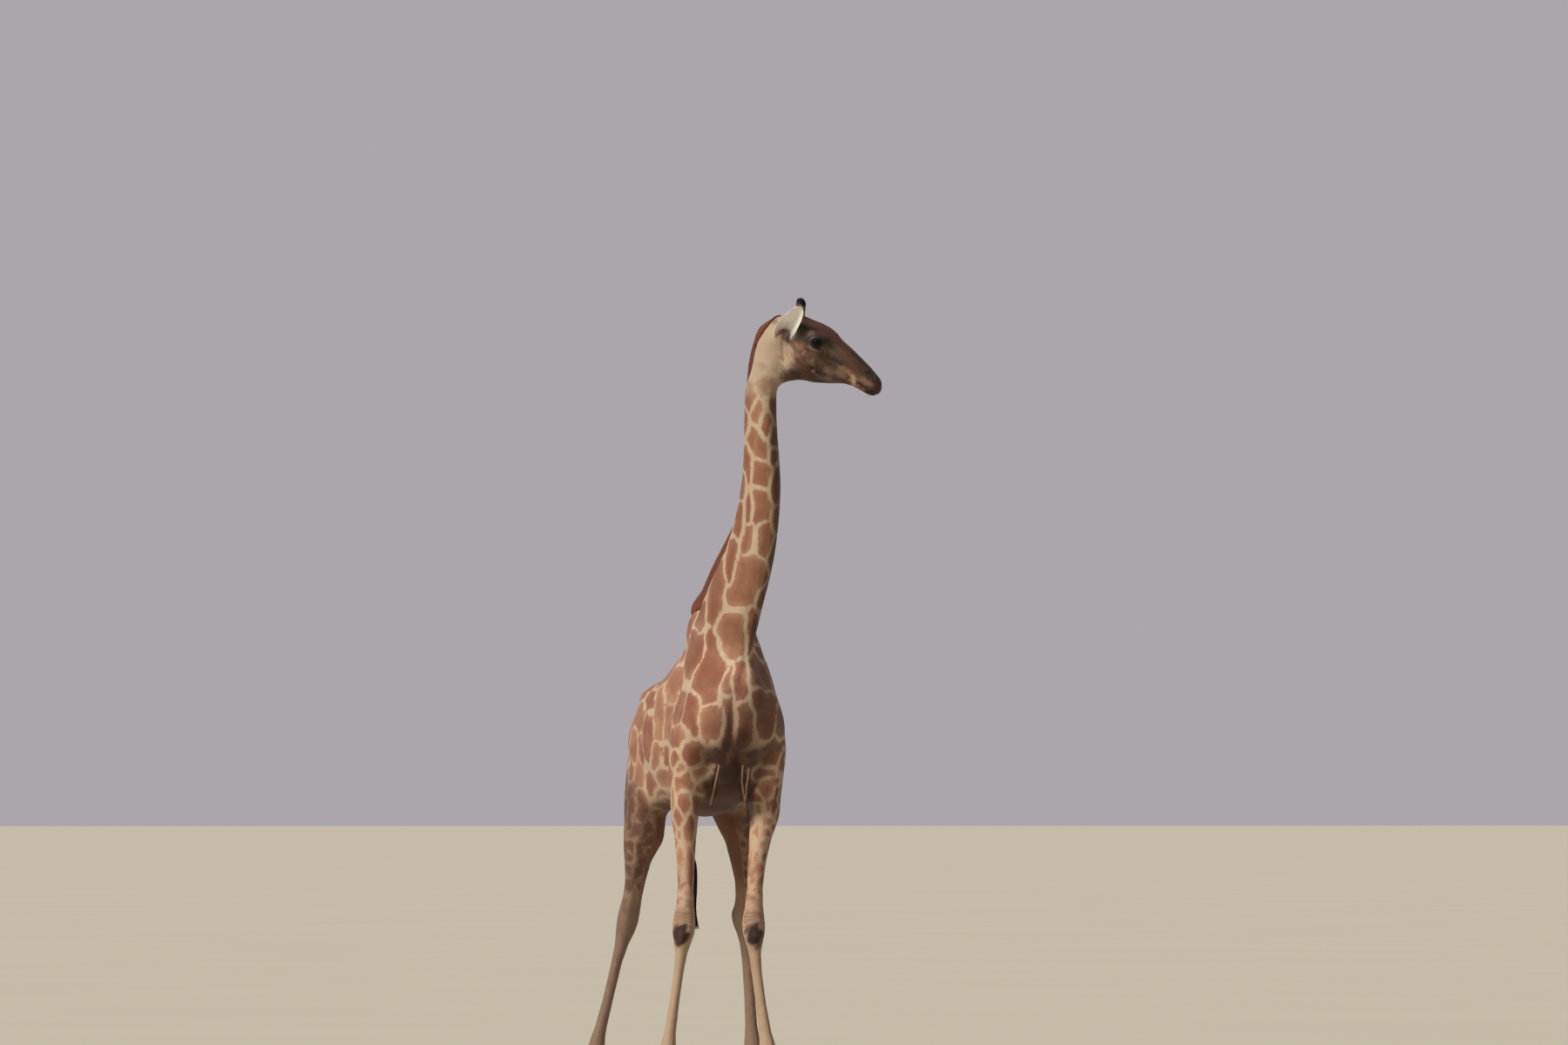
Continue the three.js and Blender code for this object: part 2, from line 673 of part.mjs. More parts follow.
// ---------- where the body is parted ----------
const NECK_BASE = { point: at(0, -250, 2500), normal: at(0, -0.64, 0.77).normalize() };
const HEAD_BASE = { point: onHead(67, 0, -150), normal: headWard(0.375, 0, 0.927) };
const foreCut = (s) => ({ point: at(0, 0, 1536), normal: at(-s * 0.87, 0.46, 1).normalize() });
const hindCut = (s) => ({ point: at(0, 0, 752), normal: at(-s * 0.804, -0.748, 1).normalize() });
const legCut = (name) => (isFore(name) ? foreCut : hindCut)(name.endsWith("left") ? 1 : -1);

function makeTrunk() {
  let body = solid(net(at(-560, -640, 1380), at(560, 1560, 2900), TRUNK_CELL));
  body = body.subtract(halfSpace(NECK_BASE.point, NECK_BASE.normal));
  for (const name of Object.keys(LEGS)) {
    const { point, normal } = legCut(name);
    body = body.subtract(halfSpace(point, normal.clone().negate()));
  }
  return body;
}

// Which height a leg's centre line has where it meets the plane that parts it from the trunk.
function legTop(name) {
  const { point, normal } = legCut(name);
  let [low, high] = [1300, 1720];
  for (let i = 0; i < 20; i++) {
    const z = (low + high) / 2;
    if (onLeg(name, z).sub(point).dot(normal) < -GAP) low = z;
    else high = z;
  }
  return low;
}

const LEG_RING_HEIGHTS = {
  fore: [1600, 1500, 1390, 1260, 1130, 1030, 970, 920, 870, 820, 760, 660, 480, 320, 265, 215, 165, 125],
  hind: [1560, 1480, 1380, 1260, 1150, 1060, 1005, 955, 905, 855, 790, 680, 480, 320, 265, 215, 165, 125],
};

function makeLeg(name) {
  const { normal } = legCut(name);
  const top = legTop(name);
  const straight = 1380; // below this height the rings lie level
  const lower = LEG_RING_HEIGHTS[isFore(name) ? "fore" : "hind"].filter((z) => z < top - 40);
  const heights = [top, ...lower, CORONET_HEIGHT];
  const rings = heights.map((z) => {
    const tip = THREE.MathUtils.smoothstep(z, straight, top);
    const along = at(0, 0, 1).lerp(normal, tip).normalize();
    return skinRing(onLeg(name, z), along, ACROSS, LEG_SIDES);
  });
  return solid(loft(rings.reverse()));
}

function makeNeck() {
  const start = 0.12;
  const end = 0.985;
  const count = 22;
  const rings = [];
  for (let i = 0; i <= count; i++) {
    const t = mix(start, end, i / count);
    const { p, tangent, left } = neckAt(t);
    rings.push(skinRing(p, tangent, left, NECK_SIDES));
  }
  const bottom = NECK_BASE.point.clone().addScaledVector(NECK_BASE.normal, GAP);
  const top = HEAD_BASE.point.clone().addScaledVector(HEAD_BASE.normal, -GAP);
  return solid(loft(rings))
    .subtract(halfSpace(bottom, NECK_BASE.normal.clone().negate()))
    .subtract(halfSpace(top, HEAD_BASE.normal));
}

function makeHead() {
  const corners = new THREE.Box3();
  for (const forward of [-90, 730])
    for (const left of [-160, 160])
      for (const up of [-260, 240])
        corners.expandByPoint(onHead(forward, left, up));
  return solid(net(corners.min, corners.max, HEAD_CELL)).subtract(
    halfSpace(HEAD_BASE.point, HEAD_BASE.normal.clone().negate()),
  );
}

// ---------- eyes ----------
const EYE_CENTRE = [225, 87, 56]; // forward, left, up on the head
const eyeBall = (side, radius) => {
  const [forward, left, up] = EYE_CENTRE;
  const ball = new THREE.SphereGeometry(radius, 12, 8).rotateX(Math.PI / 2);
  return solid(ball.translate(...onHead(forward, side * left, up).toArray()));
};

// ---------- smooth round pieces: tail, ossicones ----------
function roundTube(centres, radii, sides, count) {
  const curve = new THREE.CatmullRomCurve3(centres, false, "centripetal");
  const last = centres.length - 1;
  const rings = [];
  for (let i = 0; i <= count; i++) {
    const t = i / count;
    const k = Math.min(Math.floor(t * last), last - 1);
    const radius = mix(radii[k], radii[k + 1], t * last - k);
    const along = curve.getTangent(t);
    const side = ACROSS.clone().addScaledVector(along, -ACROSS.dot(along)).normalize();
    const depth = along.clone().cross(side);
    rings.push(
      Array.from({ length: sides }, (_, j) => {
        const angle = (j / sides) * 2 * Math.PI;
        return curve
          .getPoint(t)
          .addScaledVector(side, radius * Math.cos(angle))
          .addScaledVector(depth, radius * Math.sin(angle));
      }),
    );
  }
  return solid(loft(rings));
}

const TAIL = [
  // x, y, z, radius
  [0, 1330, 2150, 50],
  [0, 1420, 2085, 46],
  [4, 1492, 1960, 36],
  [16, 1524, 1780, 28],
  [52, 1528, 1580, 23],
  [90, 1520, 1400, 19],
  [118, 1510, 1290, 17],
];
const TAIL_TUFT = [
  [118, 1510, 1288, 19],
  [123, 1506, 1222, 27],
  [119, 1500, 1130, 33],
  [114, 1494, 1035, 31],
  [119, 1489, 955, 25],
  [132, 1485, 895, 16],
  [150, 1482, 853, 6],
];
const alongRows = (rows, sides, count) =>
  roundTube(rows.map(([x, y, z]) => at(x, y, z)), rows.map((row) => row[3]), sides, count);

// Ossicones: forward, left, up on the head, radius
const OSSICONE = [
  [104, 44, 96, 31],
  [88, 50, 134, 27],
  [70, 56, 170, 20],
  [56, 60, 200, 17.5],
];
const OSSICONE_TUFT = [
  [59, 59.2, 190, 22],
  [50, 61.4, 210, 25],
  [46, 62.6, 225, 26],
  [44, 63.2, 236, 21],
  [43, 63.5, 242, 9],
];
const onSkull = (rows, side, sides, count) =>
  roundTube(
    rows.map(([forward, left, up]) => onHead(forward, side * left, up)),
    rows.map((row) => row[3]),
    sides,
    count,
  );

// ---------- ears ----------
const EAR_BASE = [34, 86, -24]; // forward, left, up on the head
const EAR_TIP = [70, 160, 189];
const EAR_ROWS = [
  // share of the length, half width, depth of the hollow, thickness
  [0, 28, 20, 26],
  [0.12, 47, 27, 19],
  [0.26, 58, 31, 14],
  [0.5, 55, 26, 12],
  [0.72, 45, 18, 10],
  [0.88, 33, 10, 8],
  [0.97, 17, 4, 6],
];

function makeEar(side) {
  const base = onHead(EAR_BASE[0], side * EAR_BASE[1], EAR_BASE[2]);
  const tip = onHead(EAR_TIP[0], side * EAR_TIP[1], EAR_TIP[2]);
  const along = tip.clone().sub(base);
  const opening = headWard(0.3, side, -0.1);
  opening.addScaledVector(along, -opening.dot(along) / along.lengthSq()).normalize();
  const wide = along.clone().normalize().cross(opening);
  const place = (share, w, half, inward) =>
    base
      .clone()
      .addScaledVector(along, share)
      .addScaledVector(wide, w * half)
      .addScaledVector(opening, -inward);
  const rings = EAR_ROWS.map(([share, half, hollow, thick]) => {
    const inner = [-1, -0.66, -0.25, 0.25, 0.66, 1].map((w) => place(share, w, half, hollow * (1 - w * w)));
    const outer = [0.8, 0.3, -0.3, -0.8].map((w) => place(share, w, half, hollow * (1 - w * w) + thick));
    return [...inner, ...outer];
  });
  return solid(loft(rings));
}

// ---------- mane ----------
const MANE_ROWS = [
  // share of the neck's length, height of the hair, half thickness
  [0.005, 34, 8],
  [0.07, 60, 15],
  [0.15, 66, 18],
  [0.24, 72, 20],
  [0.33, 72, 20],
  [0.39, 68, 20],
  [0.45, 48, 19],
  [0.57, 44, 18],
  [0.69, 42, 17],
  [0.8, 42, 16],
  [0.91, 42, 15],
];
const MANE_TOP = [
  // on the head: forward and up of the ray's start, forward and up of its direction, height, half thickness
  [24, -40, -0.94, 0.2, 44, 13],
  [30, -10, -0.8, 0.5, 22, 11],
  [40, 10, -0.5, 0.8, 8, 6],
];
const MANE_ROOT = 24; // how far its base is sunk before it is cut to the skin

function makeMane() {
  const profile = [
    // sideways, sunk, share of the height
    [1, -MANE_ROOT, 0],
    [0.8, 0, 0.5],
    [0.25, 0, 0.96],
    [-0.25, 0, 0.96],
    [-0.8, 0, 0.5],
    [-1, -MANE_ROOT, 0],
  ];
  const ring = (start, dorsal, left, height, thick) => {
    const root = leave(start, dorsal);
    return profile.map(([w, sunk, share]) =>
      root
        .clone()
        .addScaledVector(left, w * thick)
        .addScaledVector(dorsal, sunk + share * height),
    );
  };
  const rings = MANE_ROWS.map(([t, height, thick]) => {
    const { p, dorsal, left } = neckAt(t);
    return ring(p, dorsal, left, height, thick);
  });
  for (const [forward, up, alongForward, alongUp, height, thick] of MANE_TOP)
    rings.push(ring(onHead(forward, 0, up), headWard(alongForward, 0, alongUp), headLeft, height, thick));
  return solid(loft(rings));
}

// ---------- hooves ----------
const CLEFT = 3; // half of the space between the two hooves of a foot
const HOOF_ROWS = [
  // height, spread to the side, reach of the toe, reach of the heel
  [CORONET_HEIGHT - GAP, 0.985, 0.985, 0.985],
  [CORONET_HEIGHT * 0.5, 1.08, 1.2, 1.03],
  [0, 1.15, 1.42, 1.06],
];

function makeHoof(name, toe) {
  const centre = onLeg(name, CORONET_HEIGHT);
  const across = LEGS[name].at(-1).across;
  const forward = across.clone().cross(at(0, 0, 1));
  const outline = Array.from({ length: 9 }, (_, i) => {
    const angle = radians(mix(-84, 84, i / 8));
    const ray = across
      .clone()
      .multiplyScalar(toe * Math.cos(angle))
      .addScaledVector(forward, Math.sin(angle));
    const reach = leave(centre, ray).distanceTo(centre);
    return [reach * Math.cos(angle), reach * Math.sin(angle)];
  });
  const heel = [0, outline[0][1]];
  const tip = [0, outline[8][1]];
  const rings = HOOF_ROWS.map(([z, spread, front, back]) =>
    [heel, ...outline, tip].map(([u, v]) =>
      centre
        .clone()
        .addScaledVector(across, toe * Math.max(u * spread, CLEFT))
        .addScaledVector(forward, v * (v > 0 ? front : back))
        .setZ(z),
    ),
  );
  rings.reverse(); // from the sole up
  return solid(loft(toe > 0 ? rings.map((ring) => ring.reverse()) : rings));
}

// ---------- putting it together ----------
const COLOURS = {
  coat: 0xb08a63,
  ear: 0xc9b692,
  mane: 0x7c5142,
  tuft: 0x2c2320,
  eye: 0x0b0d0d,
  hoof: 0x4a4038,
};
const nodes = [];
const add = (name, body, colour, roughness = 0.9) => nodes.push({ name, body, colour, roughness });

const trunk = makeTrunk();
const neck = makeNeck();
const legs = Object.fromEntries(Object.keys(LEGS).map((name) => [name, makeLeg(name)]));
let head = makeHead();
for (const side of Object.values(SIDES)) head = head.subtract(eyeBall(side, EYE_RADIUS + GAP));
const tail = alongRows(TAIL, 10, 12).subtract(grown(trunk, GAP));
add("trunk", trunk, COLOURS.coat);
add("neck", neck, COLOURS.coat);
add("head", head, COLOURS.coat);
add("tail", tail, COLOURS.coat);
add("tail_tuft", alongRows(TAIL_TUFT, 10, 10).subtract(grown(tail, GAP)), COLOURS.tuft);
for (const [name, leg] of Object.entries(legs)) {
  add(name, leg, COLOURS.coat);
  const outer = name.endsWith("left") ? 1 : -1;
  add(`hoof_${name}_outer`, makeHoof(name, outer), COLOURS.hoof, 0.6);
  add(`hoof_${name}_inner`, makeHoof(name, -outer), COLOURS.hoof, 0.6);
}
const headSpace = grown(head, GAP);
const maneSpace = [headSpace, grown(neck, GAP), grown(trunk, GAP)];
const mane = maneSpace.reduce((body, other) => body.subtract(other), makeMane());
add("mane", mane, COLOURS.mane);
for (const [name, side] of Object.entries(SIDES)) {
  add(`eye_${name}`, eyeBall(side, EYE_RADIUS), COLOURS.eye, 0.15);
  add(`ear_${name}`, makeEar(side).subtract(headSpace), COLOURS.ear);
  const ossicone = onSkull(OSSICONE, side, 10, 4).subtract(headSpace);
  add(`ossicone_${name}`, ossicone, COLOURS.coat);
  const tuft = onSkull(OSSICONE_TUFT, side, 10, 5).subtract(grown(ossicone, GAP));
  add(`ossicone_tuft_${name}`, tuft, COLOURS.tuft);
}

const giraffe = new THREE.Group();
giraffe.name = "giraffe";
for (const { name, body, colour, roughness } of nodes) {
  const material = new THREE.MeshStandardMaterial({ color: colour, roughness, metalness: 0 });
  const mesh = new THREE.Mesh(geometryOf(body), material);
  mesh.name = name;
  giraffe.add(mesh);
}

// The origin is the middle of the bottom of the whole.
const whole = new THREE.Box3().setFromObject(giraffe);
const middle = whole.getCenter(at(0, 0, 0));
for (const mesh of giraffe.children) mesh.geometry.translate(-middle.x, -middle.y, -whole.min.z);

export default giraffe;
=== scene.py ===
import math

import bmesh
import bpy
import numpy as np
from mathutils.bvhtree import BVHTree
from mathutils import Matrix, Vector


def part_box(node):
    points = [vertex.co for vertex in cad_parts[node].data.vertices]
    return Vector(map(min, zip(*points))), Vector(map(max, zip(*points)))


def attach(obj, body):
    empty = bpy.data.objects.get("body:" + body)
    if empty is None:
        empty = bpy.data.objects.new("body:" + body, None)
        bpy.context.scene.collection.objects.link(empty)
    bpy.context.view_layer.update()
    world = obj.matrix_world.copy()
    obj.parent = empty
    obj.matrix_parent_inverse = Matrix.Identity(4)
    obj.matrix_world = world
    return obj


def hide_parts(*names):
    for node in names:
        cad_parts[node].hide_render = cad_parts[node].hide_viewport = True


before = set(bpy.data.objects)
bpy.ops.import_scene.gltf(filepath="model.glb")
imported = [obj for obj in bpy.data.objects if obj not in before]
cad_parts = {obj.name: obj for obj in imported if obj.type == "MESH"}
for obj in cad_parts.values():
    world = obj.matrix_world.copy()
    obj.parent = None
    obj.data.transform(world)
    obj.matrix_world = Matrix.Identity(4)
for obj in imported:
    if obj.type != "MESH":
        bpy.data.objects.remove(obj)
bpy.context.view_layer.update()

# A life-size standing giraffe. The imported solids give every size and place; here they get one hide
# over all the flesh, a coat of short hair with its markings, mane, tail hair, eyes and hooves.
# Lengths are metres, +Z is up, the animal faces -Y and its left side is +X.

SIDES = {"left": 1, "right": -1}
FLESH = ["trunk", "neck", "head", "tail", "foreleg_left", "foreleg_right", "hindleg_left", "hindleg_right"]
UP = np.array([0.0, 0.0, 1.0])
rng = np.random.default_rng(41)


# ---------- places, read from the frame ----------
def unit(v):
    v = np.asarray(v, float)
    return v / np.maximum(np.linalg.norm(v, axis=-1, keepdims=True), 1e-12)


def dot(a, b):
    return np.sum(a * b, axis=-1)


def middle(node):
    low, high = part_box(node)
    return np.array((low + high) / 2)


def step(x, low, high):
    """Rises smoothly from 0 at low to 1 at high."""
    t = np.clip((x - low) / (high - low), 0, 1)
    return t * t * (3 - 2 * t)


HEAD_TURN, HEAD_PITCH = math.radians(75), math.radians(26.6)
FORWARD = np.array([
    math.sin(HEAD_TURN) * math.cos(HEAD_PITCH),
    -math.cos(HEAD_TURN) * math.cos(HEAD_PITCH),
    -math.sin(HEAD_PITCH),
])
LEFT = np.array([math.cos(HEAD_TURN), math.sin(HEAD_TURN), 0.0])
CROWN = np.cross(FORWARD, LEFT)
EYE = (0.225, 0.087, 0.056)  # on the head: forward, left, up
EYE_RADIUS = 0.027
BETWEEN_EYES = (middle("eye_left") + middle("eye_right")) / 2
HEAD = BETWEEN_EYES - EYE[0] * FORWARD - EYE[2] * CROWN
GROUND = HEAD - np.array([0.079, -0.826, 4.156])  # the floor between the forefeet


def on_head(forward, left, up):
    return HEAD + forward * FORWARD + left * LEFT + up * CROWN


def in_head(points):
    """How far forward, left and up points lie on the head."""
    q = points - HEAD
    return np.stack([q @ FORWARD, q @ LEFT, q @ CROWN], axis=-1)


# ---------- camera ----------
# The animal is seen from its front, a little from its right, at the height of its belly.
VIEW, TILT = math.radians(-13), math.radians(2.33)
DISTANCE, ASIDE, EYE_LEVEL = 40, 0.31, 1.53  # of the standpoint from the floor between the forefeet
LENS, SENSOR = 164.8, 36  # millimetres
ACROSS = np.array([math.cos(VIEW), math.sin(VIEW), 0.0])
TOWARDS = np.array([math.sin(VIEW), -math.cos(VIEW), 0.0])
STANDPOINT = GROUND + DISTANCE * TOWARDS + ASIDE * ACROSS + EYE_LEVEL * UP

camera = bpy.data.objects.new("camera", bpy.data.cameras.new("camera"))
bpy.context.scene.collection.objects.link(camera)
camera.location = STANDPOINT
camera.rotation_euler = (math.radians(90) + TILT, 0, VIEW)
camera.data.lens = LENS
camera.data.sensor_width = SENSOR
camera.data.clip_end = 2000
bpy.context.scene.camera = camera
bpy.context.scene.view_settings.view_transform = "Standard"


# ---------- meshes as arrays ----------
def arrays(mesh):
    """The points and triangles of a mesh."""
    points = np.empty(len(mesh.vertices) * 3)
    mesh.vertices.foreach_get("co", points)
    mesh.calc_loop_triangles()
    triangles = np.empty(len(mesh.loop_triangles) * 3, int)
    mesh.loop_triangles.foreach_get("vertices", triangles)
    return points.reshape(-1, 3), triangles.reshape(-1, 3)


def merged(mesh):
    """Points and triangles with doubled points made one."""
    points, triangles = arrays(mesh)
    points, place = np.unique(np.round(points, 5), axis=0, return_inverse=True)
    triangles = place.reshape(-1)[triangles]
    whole = (triangles != np.roll(triangles, 1, axis=1)).all(axis=1)
    return points, triangles[whole]


def joined(parts):
    """One set of points and triangles from several."""
    start = np.cumsum([0] + [len(points) for points, _ in parts])
    triangles = np.vstack([tri + first for (_, tri), first in zip(parts, start)])
    return np.vstack([points for points, _ in parts]), triangles


def normals(points, triangles):
    a, b, c = (points[triangles[:, k]] for k in range(3))
    face = np.cross(b - a, c - a)
    out = np.zeros_like(points)
    for axis in range(3):
        for corner in range(3):
            out[:, axis] += np.bincount(triangles[:, corner], face[:, axis], len(points))
    return unit(out)


def as_mesh(name, points, triangles, smooth=True):
    mesh = bpy.data.meshes.new(name)
    mesh.vertices.add(len(points))
    mesh.vertices.foreach_set("co", np.asarray(points, np.float32).ravel())
    mesh.loops.add(len(triangles) * 3)
    mesh.loops.foreach_set("vertex_index", np.asarray(triangles, np.int32).ravel())
    mesh.polygons.add(len(triangles))
    mesh.polygons.foreach_set("loop_start", np.arange(len(triangles), dtype=np.int32) * 3)
    mesh.update(calc_edges=True)
    mesh.polygons.foreach_set("use_smooth", np.full(len(triangles), smooth))
    return mesh


def piece(name, mesh, finish, replaces=()):
    """A finished piece of the model, in its place."""
    obj = bpy.data.objects.new(name, mesh)
    bpy.context.scene.collection.objects.link(obj)
    mesh.materials.clear()
    mesh.materials.append(finish)
    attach(obj, "root")
    if replaces:
        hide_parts(*replaces)
    return obj


def reshaped(points, triangles, kind, **settings):
    """The arrays after one of Blender's modifiers."""
    mesh = as_mesh("work", points, triangles)
    obj = bpy.data.objects.new("work", mesh)
    bpy.context.scene.collection.objects.link(obj)
    modifier = obj.modifiers.new("work", kind)
    for key, value in settings.items():
        setattr(modifier, key, value)
    done = bpy.data.meshes.new_from_object(obj.evaluated_get(bpy.context.evaluated_depsgraph_get()))
    out = arrays(done)
    bpy.data.objects.remove(obj)
    bpy.data.meshes.remove(mesh)
    bpy.data.meshes.remove(done)
    return out


def one_skin(parts, grain):
    """Closed shapes that touch or overlap, made one skin of evenly spread points."""
    return reshaped(*joined(parts), "REMESH", mode="VOXEL", voxel_size=grain)


def largest(points, triangles):
    """The biggest connected shell, without bubbles inside it."""
    bm = bmesh.new()
    bm.from_mesh(as_mesh("work", points, triangles))
    bm.verts.ensure_lookup_table()
    shell = np.full(len(points), -1)
    for vert in bm.verts:
        if shell[vert.index] >= 0:
            continue
        shell[vert.index] = vert.index
        front = [vert]
        while front:
            for edge in front.pop().link_edges:
                for other in edge.verts:
                    if shell[other.index] < 0:
                        shell[other.index] = vert.index
                        front.append(other)
    bm.free()
    names, counts = np.unique(shell, return_counts=True)
    keep = shell == names[np.argmax(counts)]
    place = np.cumsum(keep) - 1
    return points[keep], place[triangles[keep[triangles[:, 0]]]]


class Web:
    """The edges of a mesh, for averaging over neighbours."""

    def __init__(self, triangles, count):
        pairs = np.vstack([triangles[:, [0, 1]], triangles[:, [1, 2]], triangles[:, [2, 0]]])
        pairs = np.unique(np.sort(pairs, axis=1), axis=0)
        self.here = np.concatenate([pairs[:, 0], pairs[:, 1]])
        self.there = np.concatenate([pairs[:, 1], pairs[:, 0]])
        self.count = count
        self.degree = np.maximum(np.bincount(self.here, minlength=count), 1)

    def mean(self, values):
        if values.ndim == 1:
            return np.bincount(self.here, values[self.there], self.count) / self.degree
        return np.stack([self.mean(values[:, k]) for k in range(values.shape[1])], axis=-1)

    def smooth(self, values, rounds, share=0.6):
        """Moves each value towards its neighbours' mean. share may differ from point to point."""
        share = share if np.isscalar(share) or values.ndim == 1 else share[:, None]
        for _ in range(rounds):
            values = values + share * (self.mean(values) - values)
        return values


def faired(points, triangles, rounds, share):
    """Smooths away facets and keeps the girth that smoothing takes."""
    web = Web(triangles, len(points))
    soft = web.smooth(points, rounds, share)
    outward = normals(soft, triangles)
    lost = web.smooth(dot(points - soft, outward), rounds, share)
    return soft + outward * lost[:, None]


def split(points, triangles, height, above, close):
    """The part above or below a level, open or closed at the cut."""
    bm = bmesh.new()
    bm.from_mesh(as_mesh("work", points, triangles))
    everything = bm.verts[:] + bm.edges[:] + bm.faces[:]
    bmesh.ops.bisect_plane(
        bm, geom=everything, dist=1e-6, plane_co=(0, 0, height), plane_no=(0, 0, 1),
        clear_inner=above, clear_outer=not above,
    )
    if close:
        bmesh.ops.holes_fill(bm, edges=[e for e in bm.edges if e.is_boundary])
    bmesh.ops.triangulate(bm, faces=bm.faces[:])
    return from_bmesh(bm)


def from_bmesh(bm):
    mesh = bpy.data.meshes.new("work")
    bm.to_mesh(mesh)
    bm.free()
    out = arrays(mesh)
    bpy.data.meshes.remove(mesh)
    return out


def bridged(lower, upper):
    """Two open shells joined by a band between their rims."""
    bm = bmesh.new()
    bm.from_mesh(as_mesh("work", *joined([lower, upper])))
    bmesh.ops.bridge_loops(bm, edges=[e for e in bm.edges if e.is_boundary])
    bmesh.ops.triangulate(bm, faces=bm.faces[:])
    return from_bmesh(bm)


def refined(points, triangles, chosen):
    """Cuts the edges between chosen points in two."""
    bm = bmesh.new()
    bm.from_mesh(as_mesh("work", points, triangles))
    bm.verts.ensure_lookup_table()
    edges = [e for e in bm.edges if chosen[e.verts[0].index] and chosen[e.verts[1].index]]
    bmesh.ops.subdivide_edges(bm, edges=edges, cuts=1, use_grid_fill=True)
    bmesh.ops.triangulate(bm, faces=bm.faces[:])
    return from_bmesh(bm)


def ball(place, radius):
    bm = bmesh.new()
    bmesh.ops.create_icosphere(bm, subdivisions=4, radius=1)
    points, triangles = from_bmesh(bm)
    return points * radius + place, triangles


def loft(rings):
    """A closed shape over rings of equally many points."""
    rows, sides = rings.shape[:2]
    points = np.vstack([rings.reshape(-1, 3), rings[:1].mean(axis=1), rings[-1:].mean(axis=1)])
    triangles = []
    for i in range(rows - 1):
        for j in range(sides):
            a, b = i * sides + j, i * sides + (j + 1) % sides
            triangles += [(a, b, a + sides), (b, b + sides, a + sides)]
    end, last = rows * sides, (rows - 1) * sides
    for j in range(sides):
        k = (j + 1) % sides
        triangles += [(end, k, j), (end + 1, last + j, last + k)]
    triangles = np.array(triangles)
    a, b, c = (points[triangles[:, k]] - points[0] for k in range(3))
    outward = np.sum(np.cross(a, b) * c) > 0
    return points, triangles if outward else triangles[:, ::-1]


def tube(line, radii, sides=12):
    """A closed round tube along a line of points."""
    line = np.asarray(line, float)
    radii = np.broadcast_to(radii, len(line))
    tangent = unit(np.gradient(line, axis=0))
    first = unit(np.cross(tangent, UP + 0.3 * np.array([0.37, 0.11, 0])))
    second = np.cross(tangent, first)
    turn = np.linspace(0, 2 * math.pi, sides, endpoint=False)
    circle = np.cos(turn)[:, None, None] * first + np.sin(turn)[:, None, None] * second
    return loft((line + circle * radii[:, None]).transpose(1, 0, 2))


def solid_under(points, triangles):
    return BVHTree.FromPolygons(points.tolist(), triangles.tolist())


# ---------- the hide: shape ----------
COLLAR = 3.72  # the level on the neck where the finer mesh of the head begins
BODY_GRAIN, HEAD_GRAIN = 0.008, 0.003
BODY_TRIANGLES, HEAD_TRIANGLES = 118000, 78000
OVERLAP = 0.003  # how far the solids are swelled to run into each other at the cuts


def flesh_parts(names, swell):
    """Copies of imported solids, swelled so that they run into each other at the cuts."""
    parts = []
    for name in names:
        points, triangles = merged(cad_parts[name].data)
        parts.append((points + swell * normals(points, triangles), triangles))
    return parts


def coat_depth(points):
    """How far the hide lies inside the solids, which reach to the tips of the coat."""
    head = step(in_head(points)[:, 0], -0.05, 0.15) * step(points[:, 2], 3.9, 4.0)
    foot = 1 - step(points[:, 2], 0.3, 1.2)
    return 0.003 - 0.002 * np.maximum(head, foot)


def fairing_share(points):
    """How strongly each part is smoothed: most where the solids' facets are largest."""
    height = points[:, 2]
    forward = in_head(points)[:, 0]
    on_trunk = step(height, 1.25, 1.75) * (1 - step(height, 2.5, 3.3))
    on_neck = step(height, 2.4, 3.0) * (1 - step(forward, -0.1, 0.05) * step(height, 3.9, 4.0))
    return 0.05 + 0.6 * np.clip(np.maximum(on_trunk, 0.42 * on_neck), 0, 1) + 0.05 * step(height, 0.3, 0.6)


def webbing(names, reach):
    """Fills the narrow folds between solids: they are swelled, made one, and shrunk again."""
    points, triangles = one_skin(flesh_parts(names, reach), 0.014)
    points = points - (reach + 0.001) * normals(points, triangles)
    return split(points, triangles, 1.25, above=True, close=True)


def make_base():
    parts = flesh_parts(FLESH, OVERLAP)
    parts.append(webbing(["trunk", "hindleg_left", "hindleg_right"], 0.05))
    points, triangles = largest(*one_skin(parts, BODY_GRAIN))
    points = faired(points, triangles, 70, fairing_share(points))
    depth = OVERLAP + coat_depth(points)
    return points - normals(points, triangles) * depth[:, None], triangles


base = make_base()


def seen(across, up, tree):
    """The point of the animal at a place in the camera's view, given on an upright plane through
    the forefeet that faces the camera."""
    aim = GROUND + across * ACROSS + up * UP
    hit = tree.ray_cast(STANDPOINT.tolist(), unit(aim - STANDPOINT).tolist())[0]
    return None if hit is None else np.array(hit)


def beside(points, line, width):
    """1 on a line of points, falling softly to 0 at about twice the width from it."""
    line = np.asarray(line, float)
    distance = np.full(len(points), 9.0)
    for a, b in zip(line[:-1], line[1:]):
        t = np.clip((points - a) @ (b - a) / max((b - a) @ (b - a), 1e-9), 0, 1)
        distance = np.minimum(distance, np.linalg.norm(points - a - t[:, None] * (b - a), axis=1))
    return np.exp(-((distance / width) ** 2))


def press(points, outward, line, width, depth):
    """A groove along a line of points, or with a negative depth a ridge."""
    points -= outward * (depth * beside(points, line, width))[:, None]


def swell(points, outward, place, radii, height, axes=(FORWARD, LEFT, CROWN)):
    """A soft rise of a given height, or with a negative height a hollow."""
    q = (points - place) @ np.transpose(axes) / np.asarray(radii)
    points += outward * (height * np.exp(-dot(q, q)))[:, None]


# ---------- the head ----------
LID_OUTER, LID_RIM = 0.0315, 0.0036
SOCKET = 0.0235  # the reach of the skin behind the eyeball
OPENING = (0.0252, 0.0198, 0.0186)  # half length of the eye's opening, and its height above and below


